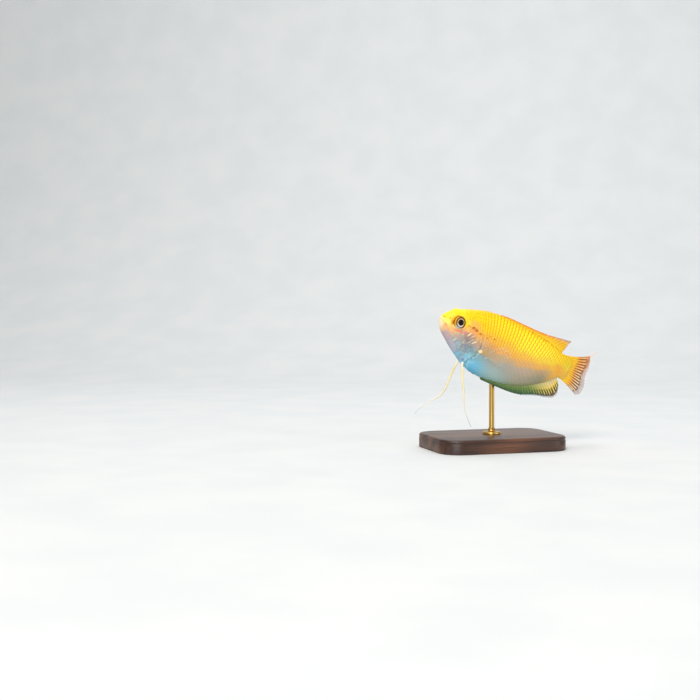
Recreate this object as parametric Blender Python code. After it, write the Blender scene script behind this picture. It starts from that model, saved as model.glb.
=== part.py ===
"""Honey gourami, life size, as a still museum model held by a plain display stand.

The fish is built straight, nose towards -X, back towards +Z and its left side towards -Y,
with the tip of the snout at the origin of its own frame. The rear of the body and the tail
fin are then swung to the fish's right, and an empty pitches the whole fish nose-up on its rod.
Lengths are in metres.
"""

import math

import bmesh
import bpy
import numpy as np
from mathutils import Matrix, Vector
from mathutils.bvhtree import BVHTree

MM = 0.001
GAP = 0.3 * MM  # free space kept between touching pieces

# Driving sizes of the fish
STANDARD_LENGTH = 40.8 * MM  # snout to the end of the tail stalk
NOSE_TIP = -0.3 * MM
NOSE_ROUNDING = 1.4 * MM
NOSE_HEIGHT = 0.5 * MM

# Each station of the body, in millimetres: distance from the snout, height of the back,
# height of the belly, half width, height of the widest line, and how full the upper and
# the lower half of the section are (2 is an ellipse, less is keeled, more is boxy).
STATIONS = (
    (0.0, 2.35, -1.30, 0.95, 0.5, 2.1, 2.0),
    (1.5, 3.35, -2.95, 1.45, 0.3, 2.2, 1.9),
    (3.0, 4.75, -4.25, 2.00, 0.3, 2.3, 1.8),
    (5.0, 5.25, -5.95, 2.58, 0.2, 2.3, 1.75),
    (7.5, 5.98, -7.75, 3.00, -0.6, 2.2, 1.7),
    (10.0, 6.64, -9.35, 3.25, -1.4, 2.1, 1.75),
    (13.0, 7.20, -10.60, 3.45, -2.2, 2.0, 1.85),
    (16.0, 7.38, -11.05, 3.45, -2.4, 1.85, 1.85),
    (20.0, 7.05, -11.00, 3.20, -2.2, 1.75, 1.7),
    (24.0, 6.65, -10.80, 2.80, -1.9, 1.7, 1.6),
    (28.0, 6.15, -10.05, 2.35, -1.5, 1.65, 1.55),
    (32.0, 5.45, -8.60, 1.85, -1.0, 1.6, 1.5),
    (36.3, 4.45, -6.35, 1.35, -0.6, 1.6, 1.55),
    (40.8, 3.22, -3.70, 0.90, -0.2, 1.8, 1.8),
)
BODY_RINGS = 46
RING_SIDES = 36
STALK_START = 33.0 * MM

# Swing of the rear body and tail to the right
SWING_START = 29.0 * MM
SWING_END = 46.0 * MM
SWING_ANGLE = math.radians(22)

# Head
EYE_CENTRE = Vector((5.05, 2.25, 1.28)) * MM
EYE_RADIUS = 1.74 * MM
EYE_OUTER_DEPTH = 0.72 * MM
EYE_INNER_DEPTH = 1.2 * MM
EYE_TURN = math.radians(11)  # each eye looks a little forward
CORNEA_RADIUS = 1.1 * MM
CORNEA_BULGE = 0.1 * MM
NOSTRILS = ((0.62, 1.62, 0.22), (2.15, 1.62, 0.28))
MOUTH_LINE = ((-1.2, 1.45), (0.0, 0.6), (0.8, 0.1), (1.5, -0.4))
JAW_LINE = ((1.7, -0.9), (1.8, -1.9), (1.65, -3.2), (1.2, -6.5))
LIP_RADIUS = 0.27 * MM
LIP_OFFSET = 0.26 * MM
MOUTH_CORNER = 1.5 * MM
HEAD_LINE = (
    (10.6, 10.0), (10.9, 5.0), (11.5, 2.2), (12.5, -0.8), (12.6, -3.4),
    (11.9, -6.0), (10.6, -8.0), (9.6, -12.0),
)
GILL_FRONT = (
    (9.9, 1.5), (9.1, 1.5), (8.3, 0.6), (7.9, -1.2), (7.8, -3.4), (8.2, -5.4), (9.2, -6.9), (10.2, -7.3),
)
GILL_PLATE = 0.55 * MM  # thickness of the gill cover

# Fins, in millimetres: points of the base and of the outer edge, ray by ray from the front
DORSAL_SPINES = 17
DORSAL_RAYS = 8
DORSAL_START = 16.0
DORSAL_SPLIT = 31.0
DORSAL_END = 39.0
DORSAL_EDGE_FRONT = ((17.4, 7.72), (19.5, 7.62), (22.7, 7.42), (26.2, 7.14), (29.7, 6.92), (32.6, 6.84))
DORSAL_EDGE_REAR = (
    (32.9, 6.84), (35.0, 6.98), (37.4, 7.25), (40.0, 7.52), (41.6, 7.6),
    (40.7, 6.4), (40.2, 5.2),
)
ANAL_SPINES = 18
ANAL_RAYS = 13
ANAL_START = 16.2
ANAL_SPLIT = 29.2
ANAL_END = 39.9
ANAL_EDGE_FRONT = (
    (17.0, -11.72), (19.5, -11.95), (22.5, -12.18), (25.8, -12.36), (28.4, -12.3),
    (30.6, -12.05),
)
ANAL_EDGE_REAR = (
    (30.9, -11.98), (34.7, -10.9), (38.8, -10.3), (41.2, -9.6), (42.3, -8.2),
    (42.1, -6.7), (41.7, -5.6),
)
CAUDAL_RAYS = 14
CAUDAL_EDGE = (
    (51.4, 5.85), (52.0, 4.6), (52.2, 2.6), (51.9, 0.6), (51.9, -0.9),
    (52.5, -2.6), (52.5, -4.4), (51.6, -5.9), (49.9, -6.5),
)
CAUDAL_BOW = 0.35 * MM  # how far the outer rays curve in towards the middle of the fin
CAUDAL_THREAD = ((50.2, 5.5), (51.4, 6.0), (52.5, 6.8), (53.7, 7.8))
CAUDAL_ROOT_HALF = 0.62 * MM
MEMBRANE_HALF = 0.25 * MM
RAY_RISE = 0.13 * MM
EDGE_HALF = 0.16 * MM
FIN_ROOT_HALF = 0.42 * MM

PECTORAL_ROOT = (13.2, -4.5)
PECTORAL_LENGTH = 8.4 * MM
PECTORAL_RAYS = 10
PECTORAL_FAN = math.radians(46)
PECTORAL_LIFT = math.radians(7)  # of the fan's middle above the body's line
PECTORAL_SPREAD = (math.radians(20), math.radians(32))  # outward from the flank: left, right
PECTORAL_ROOT_WIDTH = 1.7 * MM
PECTORAL_ROOT_HALF = 0.5 * MM

# The thread-like pelvic fins, in the pitched frame with the snout at zero, in millimetres
FEELER_LEFT = (
    (6.5, -0.8, -12.0), (6.4, -1.1, -13.9), (6.3, -1.5, -16.5), (6.5, -1.8, -19.2), (6.5, -2.1, -22.0),
    (6.5, -2.5, -24.1), (6.8, -2.8, -25.8), (7.1, -3.1, -26.7), (7.5, -3.5, -28.2), (8.0, -3.8, -29.4),
)
FEELER_RIGHT = (
    (5.8, 0.8, -11.3), (4.5, 1.3, -14.0), (3.9, 1.5, -15.7), (3.2, 1.8, -17.4), (2.6, 2.0, -18.9),
    (1.2, 2.5, -20.9), (-0.8, 3.0, -22.1), (-3.0, 3.5, -23.5), (-4.3, 3.7, -24.5), (-5.8, 4.2, -26.0),
)
FEELER_RADIUS = 0.3 * MM
FEELER_TIP_RADIUS = 0.12 * MM
FEELER_RINGS = 34
FEELER_SIDES = 8

# Stand and pose
FISH_PITCH = math.radians(18.75)
ROD_RADIUS = 0.75 * MM
ROD_SIDES = 20
FOOT_RADIUS = 2.6 * MM
FOOT_HEIGHT = 0.9 * MM
BASE_SIZE = Vector((38, 26, 4)) * MM
BASE_CORNER = 6 * MM
BASE_BEVEL = 0.6 * MM
FEELER_CLEARANCE = 2.8 * MM
SNOUT_DROP = 29.4 * MM  # from the snout down to the lower feeler tip
SNOUT_AT = Vector((-16.5 * MM, -1.5 * MM, BASE_SIZE.z + FEELER_CLEARANCE + SNOUT_DROP))


def smooth(points):
    """A smooth function through (place, value) pairs, flat beyond the ends."""
    places, values = np.array(points, float).T
    slopes = np.gradient(values, places)

    def value_at(place):
        place = np.clip(place, places[0], places[-1])
        i = np.clip(np.searchsorted(places, place) - 1, 0, len(places) - 2)
        step = places[i + 1] - places[i]
        t = (place - places[i]) / step
        rise = (2 * t**3 - 3 * t**2 + 1) * values[i] + (3 * t**2 - 2 * t**3) * values[i + 1]
        return rise + step * ((t**3 - 2 * t**2 + t) * slopes[i] + (t**3 - t**2) * slopes[i + 1])

    return value_at


def smooth_path(points):
    """A function from 0..1 to a point on a smooth path through points, even in length."""
    points = np.array(points, float)
    lengths = np.r_[0, np.cumsum(np.linalg.norm(np.diff(points, axis=0), axis=1))]
    shares = lengths / lengths[-1]
    parts = [smooth(np.c_[shares, points[:, i]]) for i in range(points.shape[1])]
    return lambda share: np.array([part(share) for part in parts])


COLUMNS = np.array(STATIONS).T
back_height, belly_height, half_width, wide_height = (
    smooth(np.c_[COLUMNS[0], column] * MM) for column in COLUMNS[1:5]
)
upper_fullness, lower_fullness = (
    smooth(np.c_[COLUMNS[0] * MM, column]) for column in COLUMNS[5:7]
)


def section(x, inset=0.0):
    """(top, bottom, half width, widest height, fullness up, fullness down) of the body at x."""
    near = min(1.0, max(0.0, x - NOSE_TIP) / NOSE_ROUNDING)
    rounding = math.sqrt(max(0.0, 1 - (1 - near) ** 2))
    top = NOSE_HEIGHT + (back_height(x) - NOSE_HEIGHT) * rounding - inset
    bottom = NOSE_HEIGHT + (belly_height(x) - NOSE_HEIGHT) * rounding + inset
    widest = NOSE_HEIGHT + (wide_height(x) - NOSE_HEIGHT) * rounding
    return top, bottom, half_width(x) * rounding - inset, widest, upper_fullness(x), lower_fullness(x)


def ring_point(x, angle, inset=0.0):
    """Point of the body's skin at x, where angle 0 is the right side and a quarter turn the back."""
    top, bottom, half, widest, full_up, full_low = section(x, inset)
    c, s = math.cos(angle), math.sin(angle)
    full = full_up if s > 0 else full_low
    reach = top - widest if s > 0 else widest - bottom
    y = math.copysign(abs(c) ** (2 / full), c) * half
    z = widest + math.copysign(abs(s) ** (2 / full), s) * reach
    return Vector((x, y, z))


def skin_half(x, z):
    """Half width of the body at x and height z; 0 above the back or below the belly."""
    top, bottom, half, widest, full_up, full_low = section(x)
    up = z > widest
    share = (z - widest) / (top - widest) if up else (widest - z) / (widest - bottom)
    full = full_up if up else full_low
    return half * max(0.0, 1 - abs(share) ** full) ** (1 / full)


def new_mesh(name, points, faces):
    mesh = bpy.data.meshes.new(name)
    mesh.from_pydata([tuple(p) for p in points], [], faces)
    mesh.validate()
    return mesh


def new_object(name, mesh, material=None):
    made = bpy.data.objects.new(name, mesh)
    bpy.context.scene.collection.objects.link(made)
    if material:
        mesh.materials.clear()
        mesh.materials.append(material)
    return made


def make_material(name, colour, roughness, metallic=0.0):
    made = bpy.data.materials.new(name)
    made.use_nodes = True
    shader = made.node_tree.nodes["Principled BSDF"]
    shader.inputs["Base Color"].default_value = (*colour, 1.0)
    shader.inputs["Roughness"].default_value = roughness
    shader.inputs["Metallic"].default_value = metallic
    return made


def loft(rings):
    """Points and faces of a closed skin over rings with equal counts, outward for rings that run along +X."""
    sides = len(rings[0])
    points = [p for ring in rings for p in ring]
    faces = []
    for i in range(len(rings) - 1):
        for j in range(sides):
            k = (j + 1) % sides
            a, b = i * sides, (i + 1) * sides
            faces.append((a + j, a + k, b + k, b + j))
    faces.append(tuple(reversed(range(sides))))
    faces.append(tuple(range(len(points) - sides, len(points))))
    return points, faces


def tidy_outward(mesh):
    """Faces of a closed mesh turned outward and cut into triangles."""
    work = bmesh.new()
    work.from_mesh(mesh)
    bmesh.ops.recalc_face_normals(work, faces=work.faces)
    bmesh.ops.triangulate(work, faces=work.faces)
    if work.calc_volume(signed=True) < 0:
        bmesh.ops.reverse_faces(work, faces=work.faces)
    work.to_mesh(mesh)
    work.free()


def body_mesh(name, start, end, inset=0.0):
    """The fish's body from start to end as one closed mesh, with its skin moved in by inset."""
    spread = np.linspace(0, 1, BODY_RINGS)
    places = start + (end - start) * spread**1.35
    turns = np.linspace(0, 2 * math.pi, RING_SIDES, endpoint=False)
    rings = [[ring_point(x, a, inset) for a in turns] for x in places]
    mesh = new_mesh(name, *loft(rings))
    tidy_outward(mesh)
    return mesh


def combine(target, other, operation):
    """Applies a Boolean of other to target and keeps target's mesh; other stays."""
    step = target.modifiers.new(operation.lower(), "BOOLEAN")
    step.operation = operation
    step.object = other
    step.solver = "EXACT"
    bpy.context.view_layer.update()
    result = bpy.data.meshes.new_from_object(target.evaluated_get(bpy.context.evaluated_depsgraph_get()))
    target.modifiers.clear()
    target.data = result


def drop(*objects):
    for gone in objects:
        bpy.data.objects.remove(gone)


def keep_largest(target):
    """Leaves only the largest closed surface of an object."""
    work = bmesh.new()
    work.from_mesh(target.data)
    bmesh.ops.dissolve_degenerate(work, dist=1e-7, edges=work.edges)
    work.verts.ensure_lookup_table()
    left, islands = set(work.verts), []
    while left:
        island, reach = set(), [left.pop()]
        while reach:
            v = reach.pop()
            island.add(v)
            for e in v.link_edges:
                w = e.other_vert(v)
                if w in left:
                    left.discard(w)
                    reach.append(w)
        islands.append(island)
    biggest = max(islands, key=lambda island: extent(island))
    bmesh.ops.delete(work, geom=[v for v in work.verts if v not in biggest], context="VERTS")
    bmesh.ops.triangulate(work, faces=work.faces)
    work.to_mesh(target.data)
    work.free()


def extent(vertices):
    spans = np.array([v.co for v in vertices])
    return float(np.prod(spans.max(0) - spans.min(0) + 1e-9))


def prism(name, outline, half_depth, middle=0.0):
    """A closed prism of an outline in the XZ plane, reaching half_depth either way along Y."""
    count = len(outline)
    points = [Vector((x, middle + s * half_depth, z)) for s in (-1, 1) for x, z in outline]
    faces = [tuple(range(count)), tuple(reversed(range(count, 2 * count)))]
    faces += [(i, (i + 1) % count, count + (i + 1) % count, count + i) for i in range(count)]
    mesh = new_mesh(name, points, faces)
    tidy_outward(mesh)
    return new_object(name, mesh)


def line_points(line, steps):
    path = smooth_path(np.array(line) * MM)
    return np.array([path(t) for t in np.linspace(0, 1, steps)])


def ellipsoid(name, centre, radii, segments, rings):
    """A closed round body whose poles lie along Y."""
    mesh = bpy.data.meshes.new(name)
    work = bmesh.new()
    bmesh.ops.create_uvsphere(work, u_segments=segments, v_segments=rings, radius=1.0)
    for v in work.verts:
        v.co = Vector((v.co.x * radii[0], v.co.z * radii[1], -v.co.y * radii[2])) + centre
    work.to_mesh(mesh)
    work.free()
    tidy_outward(mesh)
    return new_object(name, mesh)


def tube_mesh(name, centres, radii, sides):
    """A closed round tube along centres, one radius for each."""
    centres = [Vector(c) for c in centres]
    radii = [float(r) for r in radii]
    along = [(b - a).normalized() for a, b in zip(centres, centres[1:])]
    along.append(along[-1])
    side = along[0].orthogonal().normalized()
    rings = []
    for centre, ahead, radius in zip(centres, along, radii):
        side = (side - ahead * side.dot(ahead)).normalized()
        up = ahead.cross(side)
        turns = (2 * math.pi * k / sides for k in range(sides))
        rings.append([centre + radius * (math.cos(a) * side + math.sin(a) * up) for a in turns])
    mesh = new_mesh(name, *loft(rings))
    tidy_outward(mesh)
    return mesh


def fin_columns(rays):
    """Shares along a fin's base, three for each ray, and which of them are crests."""
    ridge = 0.26 / rays
    shares, crests = [0.0], [False]
    for i in range(rays):
        middle = (i + 0.5) / rays
        shares += [middle - ridge, middle, middle + ridge]
        crests += [False, True, False]
    return shares + [1.0], crests + [False]


def fin_mesh(name, base, edge, rays, rows, root_half, reach, normal=None, bow=0.0):
    """A fin as one closed sheet between two lines, its rays raised in both faces.

    base and edge turn a share along the fin into a point. reach is how far a ray's tip
    stands past the membrane, as a share of the ray. normal turns a share into a direction,
    and bow curves the outer rays in towards the fin's middle.
    """
    shares, crests = fin_columns(rays)
    normal = normal or (lambda share: Vector((0, 1, 0)))
    sheets = ([], [])
    for share, crest in zip(shares, crests):
        low, high, out = Vector(base(share)), Vector(edge(share)), normal(share)
        for row in range(rows + 1):
            v = row / rows
            far = v * (1 + reach * (crest and row == rows))
            half = MEMBRANE_HALF + (root_half - MEMBRANE_HALF) * max(0.0, 1 - 3.5 * v)
            half = half if v < 1 else EDGE_HALF
            half += RAY_RISE * crest * (1.0 if v < 1 else 0.35)
            place = low.lerp(high, far) - Vector((0, 0, 4 * v * (1 - v) * bow * (1 - 2 * share)))
            sheets[0].append(place - out * half)
            sheets[1].append(place + out * half)
    columns, each = len(shares), rows + 1
    shift = columns * each
    faces = []
    for i in range(columns - 1):
        for j in range(rows):
            a, b, c, d = i * each + j, (i + 1) * each + j, (i + 1) * each + j + 1, i * each + j + 1
            for p, q, r in ((a, b, c), (a, c, d)):
                faces += [(p, q, r), (p + shift, r + shift, q + shift)]
    rim = [i * each for i in range(columns)] + [(columns - 1) * each + j for j in range(1, each)]
    rim += [i * each + rows for i in range(columns - 2, -1, -1)] + [j for j in range(rows - 1, 0, -1)]
    for a, b in zip(rim, rim[1:] + rim[:1]):
        faces += [(b, a, a + shift), (b, a + shift, b + shift)]
    mesh = new_mesh(name, sheets[0] + sheets[1], faces)
    tidy_outward(mesh)
    return mesh


def edge_line(points):
    """An edge given as (x, z) points in millimetres, as a function of its share."""
    path = smooth_path(np.array(points) * MM)

    def at(share):
        x, z = path(share)
        return Vector((x, 0, z))

    return at


def profile_line(start, end, height, away):
    """The line along the body's back or belly from start to end, in millimetres, moved away by a gap."""

    def at(share):
        x = (start + (end - start) * share) * MM
        return Vector((x, 0, float(height(x)) + away))

    return at


def swing_turn(x):
    """How far the body's line has turned to the right at x."""
    t = np.clip((x - SWING_START) / (SWING_END - SWING_START), 0, 1)
    return SWING_ANGLE * t * t * (3 - 2 * t)


def swing(point):
    """The point after the rear of the fish is swung to its right."""
    span = point[0] - SWING_START
    if span <= 0:
        return Vector(point)
    steps = 24
    turns = swing_turn(SWING_START + span * (np.arange(steps) + 0.5) / steps)
    middle_x = SWING_START + float(np.cos(turns).sum()) * span / steps
    middle_y = float(np.sin(turns).sum()) * span / steps
    here = float(swing_turn(point[0]))
    return Vector((middle_x - math.sin(here) * point[1], middle_y + math.cos(here) * point[1], point[2]))


def pitched_to_body(point):
    """A point measured level, with the snout at zero, turned into the fish's own frame."""
    x, y, z = point
    c, s = math.cos(FISH_PITCH), math.sin(FISH_PITCH)
    return Vector((x * c - z * s, y, x * s + z * c))


def lip_path(offset):
    """Centres of a lip, from the right corner of the mouth round the front to the left one."""
    line = smooth(np.array(MOUTH_LINE) * MM)
    front = NOSE_TIP
    while skin_half(front + 0.01 * MM, line(front) + offset) <= 0:
        front += 0.01 * MM
    places = front + (MOUTH_CORNER - front) * np.linspace(0, 1, 9) ** 2
    side = [Vector((x, skin_half(x, line(x) + offset), line(x) + offset)) for x in places]
    inward = [p - Vector((-0.4, 1.0 if p.y > 0 else 0, 0)) * 0.08 * MM for p in side]
    return inward[:0:-1] + [inward[0]] + [Vector((p.x, -p.y, p.z)) for p in inward[1:]]


def build_head_and_trunk(skin):
    """Head, jaw, gill covers, trunk and tail stalk, cut from one body with thin gaps."""
    deep = 20 * MM
    whole = new_object("whole", body_mesh("whole", NOSE_TIP + 0.02 * MM, STANDARD_LENGTH))
    for offset in (LIP_OFFSET, -LIP_OFFSET):
        centres = lip_path(offset)
        swell = [0.55 + 0.45 * math.sin(math.pi * i / (len(centres) - 1)) for i in range(len(centres))]
        lip = new_object("lip", tube_mesh("lip", centres, [LIP_RADIUS * s for s in swell], 8))
        combine(whole, lip, "UNION")
        drop(lip)
    keep_largest(whole)

    # Everything behind the head line, and behind the start of the tail stalk
    behind_head = line_points(HEAD_LINE, 22)
    far = STANDARD_LENGTH * 1.5
    corners = [(far, -deep), (far, deep)]
    front_edge = [(x - GAP / 2, z) for x, z in behind_head]
    rear_edge = [(x + GAP / 2, z) for x, z in behind_head]
    rear_block = prism("rear_block", [*front_edge, *corners], deep)
    front_block = prism("front_block", [*rear_edge, (-deep, -deep), (-deep, deep)], deep)
    stalk_block = prism("stalk_block", box_outline(STALK_START - GAP / 2, far, deep), deep)
    fore_block = prism("fore_block", box_outline(-deep, STALK_START + GAP / 2, deep), deep)

    def cut_copy(name, blocks):
        made = new_object(name, whole.data.copy(), skin)
        for block in blocks:
            combine(made, block, "DIFFERENCE")
        keep_largest(made)
        return made

    head = cut_copy("head", [rear_block])
    trunk = cut_copy("trunk", [front_block, stalk_block])
    stalk = cut_copy("tail_stalk", [fore_block])
    drop(rear_block, front_block, stalk_block, fore_block)
    covers = build_gill_covers(head, behind_head, skin)
    jaw = split_jaw(head, skin)
    cut_sockets(head)
    drop(whole)
    return [head, jaw, trunk, stalk, *covers]


def box_outline(start, end, deep):
    return [(start, -deep), (end, -deep), (end, deep), (start, deep)]


def build_gill_covers(head, head_line, skin):
    """Lifts a thin plate off each side of the head, leaving the slit round it."""
    front = line_points(GILL_FRONT, 12)
    rear = [p for p in head_line if front[-1][1] < p[1] < front[0][1] + 0.3 * MM]
    behind = [(x + 2 * GAP, z) for x, z in rear]
    plate_outline = [*front, *reversed(behind)]
    middle = np.mean(plate_outline, axis=0)
    pocket = []
    for x, z in plate_outline:
        away = np.array([x, z]) - middle
        pocket.append(tuple(np.array([x, z]) + away / np.linalg.norm(away) * GAP * 1.15))
    deep = 12 * MM
    core_small = new_object("core_small", body_mesh("core_small", 5 * MM, 22 * MM, GILL_PLATE + GAP))
    core_large = new_object("core_large", body_mesh("core_large", 5 * MM, 22 * MM, GILL_PLATE))
    covers = []
    for side, name in ((-1, "gill_cover_left"), (1, "gill_cover_right")):
        block = prism("block", plate_outline, deep / 2, side * deep / 2)
        cover = new_object(name, head.data.copy(), skin)
        combine(cover, block, "INTERSECT")
        combine(cover, core_large, "DIFFERENCE")
        keep_largest(cover)
        covers.append(cover)
        drop(block)
    opening = prism("opening", pocket, deep)
    combine(opening, core_small, "DIFFERENCE")
    combine(head, opening, "DIFFERENCE")
    keep_largest(head)
    drop(opening, core_small, core_large)
    return covers


def split_jaw(head, skin):
    """Parts the lower jaw from the head along the mouth and down behind the chin."""
    line = [*MOUTH_LINE, *JAW_LINE]
    deep = 12 * MM
    middle = line_points(line, 20)
    along = np.gradient(middle, axis=0)
    along /= np.linalg.norm(along, axis=1)[:, None]
    across = np.c_[-along[:, 1], along[:, 0]] * GAP / 2
    corners = [(-8 * MM, -8 * MM), (-8 * MM, 3 * MM)]
    jaw_block = prism("jaw_block", [*(middle + across), *corners], deep)
    corners = [(30 * MM, -25 * MM), (30 * MM, 20 * MM), (-8 * MM, 20 * MM)]
    rest_block = prism("rest_block", [*(middle - across), *corners], deep)
    jaw = new_object("lower_jaw", head.data.copy(), skin)
    combine(jaw, rest_block, "DIFFERENCE")
    combine(head, jaw_block, "DIFFERENCE")
    keep_largest(jaw)
    keep_largest(head)
    drop(jaw_block, rest_block)
    return jaw


def cut_sockets(head):
    """Eye sockets and the two nostrils on each side."""
    for side in (-1, 1):
        socket = eyeball("socket", side, GAP)
        combine(head, socket, "DIFFERENCE")
        drop(socket)
        for x, z, radius in NOSTRILS:
            place = Vector((x * MM, side * skin_half(x * MM, z * MM), z * MM))
            pit = ellipsoid("pit", place, (radius * MM,) * 3, 8, 6)
            combine(head, pit, "DIFFERENCE")
            drop(pit)
    keep_largest(head)


def eyeball(name, side, grow):
    """A lens-shaped eye, flatter outside than inside, that looks outward and a little forward."""
    ball = ellipsoid(name, Vector(), (1, 1, 1), 24, 14)
    turn = Matrix.Rotation(-side * EYE_TURN, 4, "Z")
    centre = Vector((EYE_CENTRE.x, side * EYE_CENTRE.y, EYE_CENTRE.z))
    for v in ball.data.vertices:
        outward = v.co.y * side
        depth = (EYE_OUTER_DEPTH if outward > 0 else EYE_INNER_DEPTH) + grow
        away = math.hypot(v.co.x, v.co.z) * EYE_RADIUS / CORNEA_RADIUS
        bulge = CORNEA_BULGE * max(0.0, 1 - away**2) if outward > 0 else 0.0
        radius = EYE_RADIUS + grow
        place = Vector((v.co.x * radius, v.co.y * depth + side * bulge, v.co.z * radius))
        v.co = centre + turn @ place
    return ball


def build_eyes(material):
    """The two eyes, each with its clear cornea standing a little proud."""
    eyes = []
    for side, name in ((-1, "eye_left"), (1, "eye_right")):
        eye = eyeball(name, side, 0.0)
        eye.data.materials.append(material)
        eyes.append(eye)
    return eyes


def build_median_fins(material):
    """Dorsal and anal fins, each in a spiny and a soft part."""
    half_gap = GAP / 2 / MM
    dorsal_front = profile_line(DORSAL_START, DORSAL_SPLIT - half_gap, back_height, GAP)
    dorsal_rear = profile_line(DORSAL_SPLIT + half_gap, DORSAL_END, back_height, GAP)
    anal_front = profile_line(ANAL_START, ANAL_SPLIT - half_gap, belly_height, -GAP)
    anal_rear = profile_line(ANAL_SPLIT + half_gap, ANAL_END, belly_height, -GAP)
    return [
        new_object(name, fin_mesh(name, base, edge_line(edge), rays, rows, FIN_ROOT_HALF, reach), material)
        for name, base, edge, rays, rows, reach in (
            ("dorsal_fin_spiny", dorsal_front, DORSAL_EDGE_FRONT, DORSAL_SPINES, 2, 0.12),
            ("dorsal_fin_soft", dorsal_rear, DORSAL_EDGE_REAR, DORSAL_RAYS, 5, 0.05),
            ("anal_fin_spiny", anal_front, ANAL_EDGE_FRONT, ANAL_SPINES, 2, 0.12),
            ("anal_fin_soft", anal_rear, ANAL_EDGE_REAR, ANAL_RAYS, 5, 0.05),
        )
    ]


def build_caudal_fin(material):
    """Tail fin with its fan of rays and the thread at the upper corner."""
    start = STANDARD_LENGTH + GAP
    top, bottom = back_height(STANDARD_LENGTH), belly_height(STANDARD_LENGTH)

    def base(share):
        return Vector((start, 0, float(top + (bottom - top) * share)))

    edge = edge_line(CAUDAL_EDGE)
    mesh = fin_mesh("caudal_fin", base, edge, CAUDAL_RAYS, 6, CAUDAL_ROOT_HALF, 0.0, bow=CAUDAL_BOW)
    fin = new_object("caudal_fin", mesh, material)
    path = smooth_path(np.array(CAUDAL_THREAD) * MM)
    centres = [Vector((x, 0, z)) for x, z in (path(t) for t in np.linspace(0, 1, 9))]
    radii = [FEELER_RADIUS * (1 - 0.6 * i / 8) for i in range(9)]
    thread = new_object("thread", tube_mesh("thread", centres, radii, 8))
    combine(fin, thread, "UNION")
    drop(thread)
    keep_largest(fin)
    return fin


def build_pectoral(side, name, material):
    """A fan-shaped breast fin that leans out from the flank behind the gill cover."""
    x, z = (v * MM for v in PECTORAL_ROOT)
    step = 0.5 * MM
    skin = Vector((x, side * skin_half(x, z), z))
    slope_x = (skin_half(x + step, z) - skin_half(x - step, z)) / (2 * step)
    slope_z = (skin_half(x, z + step) - skin_half(x, z - step)) / (2 * step)
    out = Vector((-slope_x, side, -slope_z)).normalized()
    back = Vector((1, 0, 0))
    back = (back - out * back.dot(out)).normalized()
    up = out.cross(back) * (1 if out.cross(back).z > 0 else -1)
    lean = PECTORAL_SPREAD[0 if side < 0 else 1]
    ahead = back * math.cos(lean) + out * math.sin(lean)
    face = (out * math.cos(lean) - back * math.sin(lean)).normalized()
    root = skin + out * (GAP + PECTORAL_ROOT_HALF * math.cos(lean) + 0.12 * MM)

    def ray(share):
        turn = PECTORAL_LIFT + PECTORAL_FAN * (0.5 - share)
        return ahead * math.cos(turn) + up * math.sin(turn)

    def base(share):
        return root + up * PECTORAL_ROOT_WIDTH * (0.5 - share)

    def edge(share):
        length = PECTORAL_LENGTH * (0.80 + 0.20 * math.sin(math.pi * min(1.0, share * 1.15)))
        return base(share) + ray(share) * length

    mesh = fin_mesh(name, base, edge, PECTORAL_RAYS, 5, PECTORAL_ROOT_HALF, 0.02, lambda share: face)
    return new_object(name, mesh, material)


def build_feeler(points, name, material):
    """One thread-like pelvic fin, from its root under the throat to its fine tip."""
    path = smooth_path(np.array([pitched_to_body(p) for p in points]) * MM)
    shares = np.linspace(0, 1, FEELER_RINGS)
    radii = FEELER_RADIUS + (FEELER_TIP_RADIUS - FEELER_RADIUS) * np.clip(shares * 1.6 - 0.6, 0, 1)
    return new_object(name, tube_mesh(name, [path(t) for t in shares], radii, FEELER_SIDES), material)


def build_stand(trunk, base_material, rod_material):
    """A flat base and one turned rod whose top follows the lower right flank."""
    mesh = bpy.data.meshes.new("stand_base")
    work = bmesh.new()
    outline = rounded_rectangle(BASE_SIZE.x, BASE_SIZE.y, BASE_CORNER, 6)
    floor = [work.verts.new((x, y, 0)) for x, y in outline]
    bottom = work.faces.new(reversed(floor))
    raised = bmesh.ops.extrude_face_region(work, geom=[bottom])["geom"]
    upper = [v for v in raised if isinstance(v, bmesh.types.BMVert)]
    bmesh.ops.translate(work, verts=upper, vec=(0, 0, BASE_SIZE.z))
    work.to_mesh(mesh)
    work.free()
    tidy_base(mesh)
    base = new_object("stand_base", mesh, base_material)

    start = BASE_SIZE.z + GAP
    tree = BVHTree.FromPolygons(
        [trunk.matrix_world @ v.co for v in trunk.data.vertices],
        [tuple(p.vertices) for p in trunk.data.polygons],
    )
    shoulder = FOOT_HEIGHT * 0.7
    neck = (FOOT_RADIUS * 0.88, FOOT_HEIGHT)
    profile = ((FOOT_RADIUS, 0), (FOOT_RADIUS, shoulder), neck, (ROD_RADIUS, FOOT_HEIGHT))
    turns = [2 * math.pi * k / ROD_SIDES for k in range(ROD_SIDES)]
    rings = [[Vector((r * math.cos(a), r * math.sin(a), start + z)) for a in turns] for r, z in profile]
    for share in (1.0, 0.5):
        ring = []
        for a in turns:
            x, y = share * ROD_RADIUS * math.cos(a), share * ROD_RADIUS * math.sin(a)
            hit = tree.ray_cast(Vector((x, y, start)), Vector((0, 0, 1)))[0]
            ring.append(Vector((x, y, hit.z - 1.5 * GAP)))
        rings.append(ring)
    rod_mesh = new_mesh("stand_rod", *loft(rings))
    tidy_outward(rod_mesh)
    return base, new_object("stand_rod", rod_mesh, rod_material)


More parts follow.
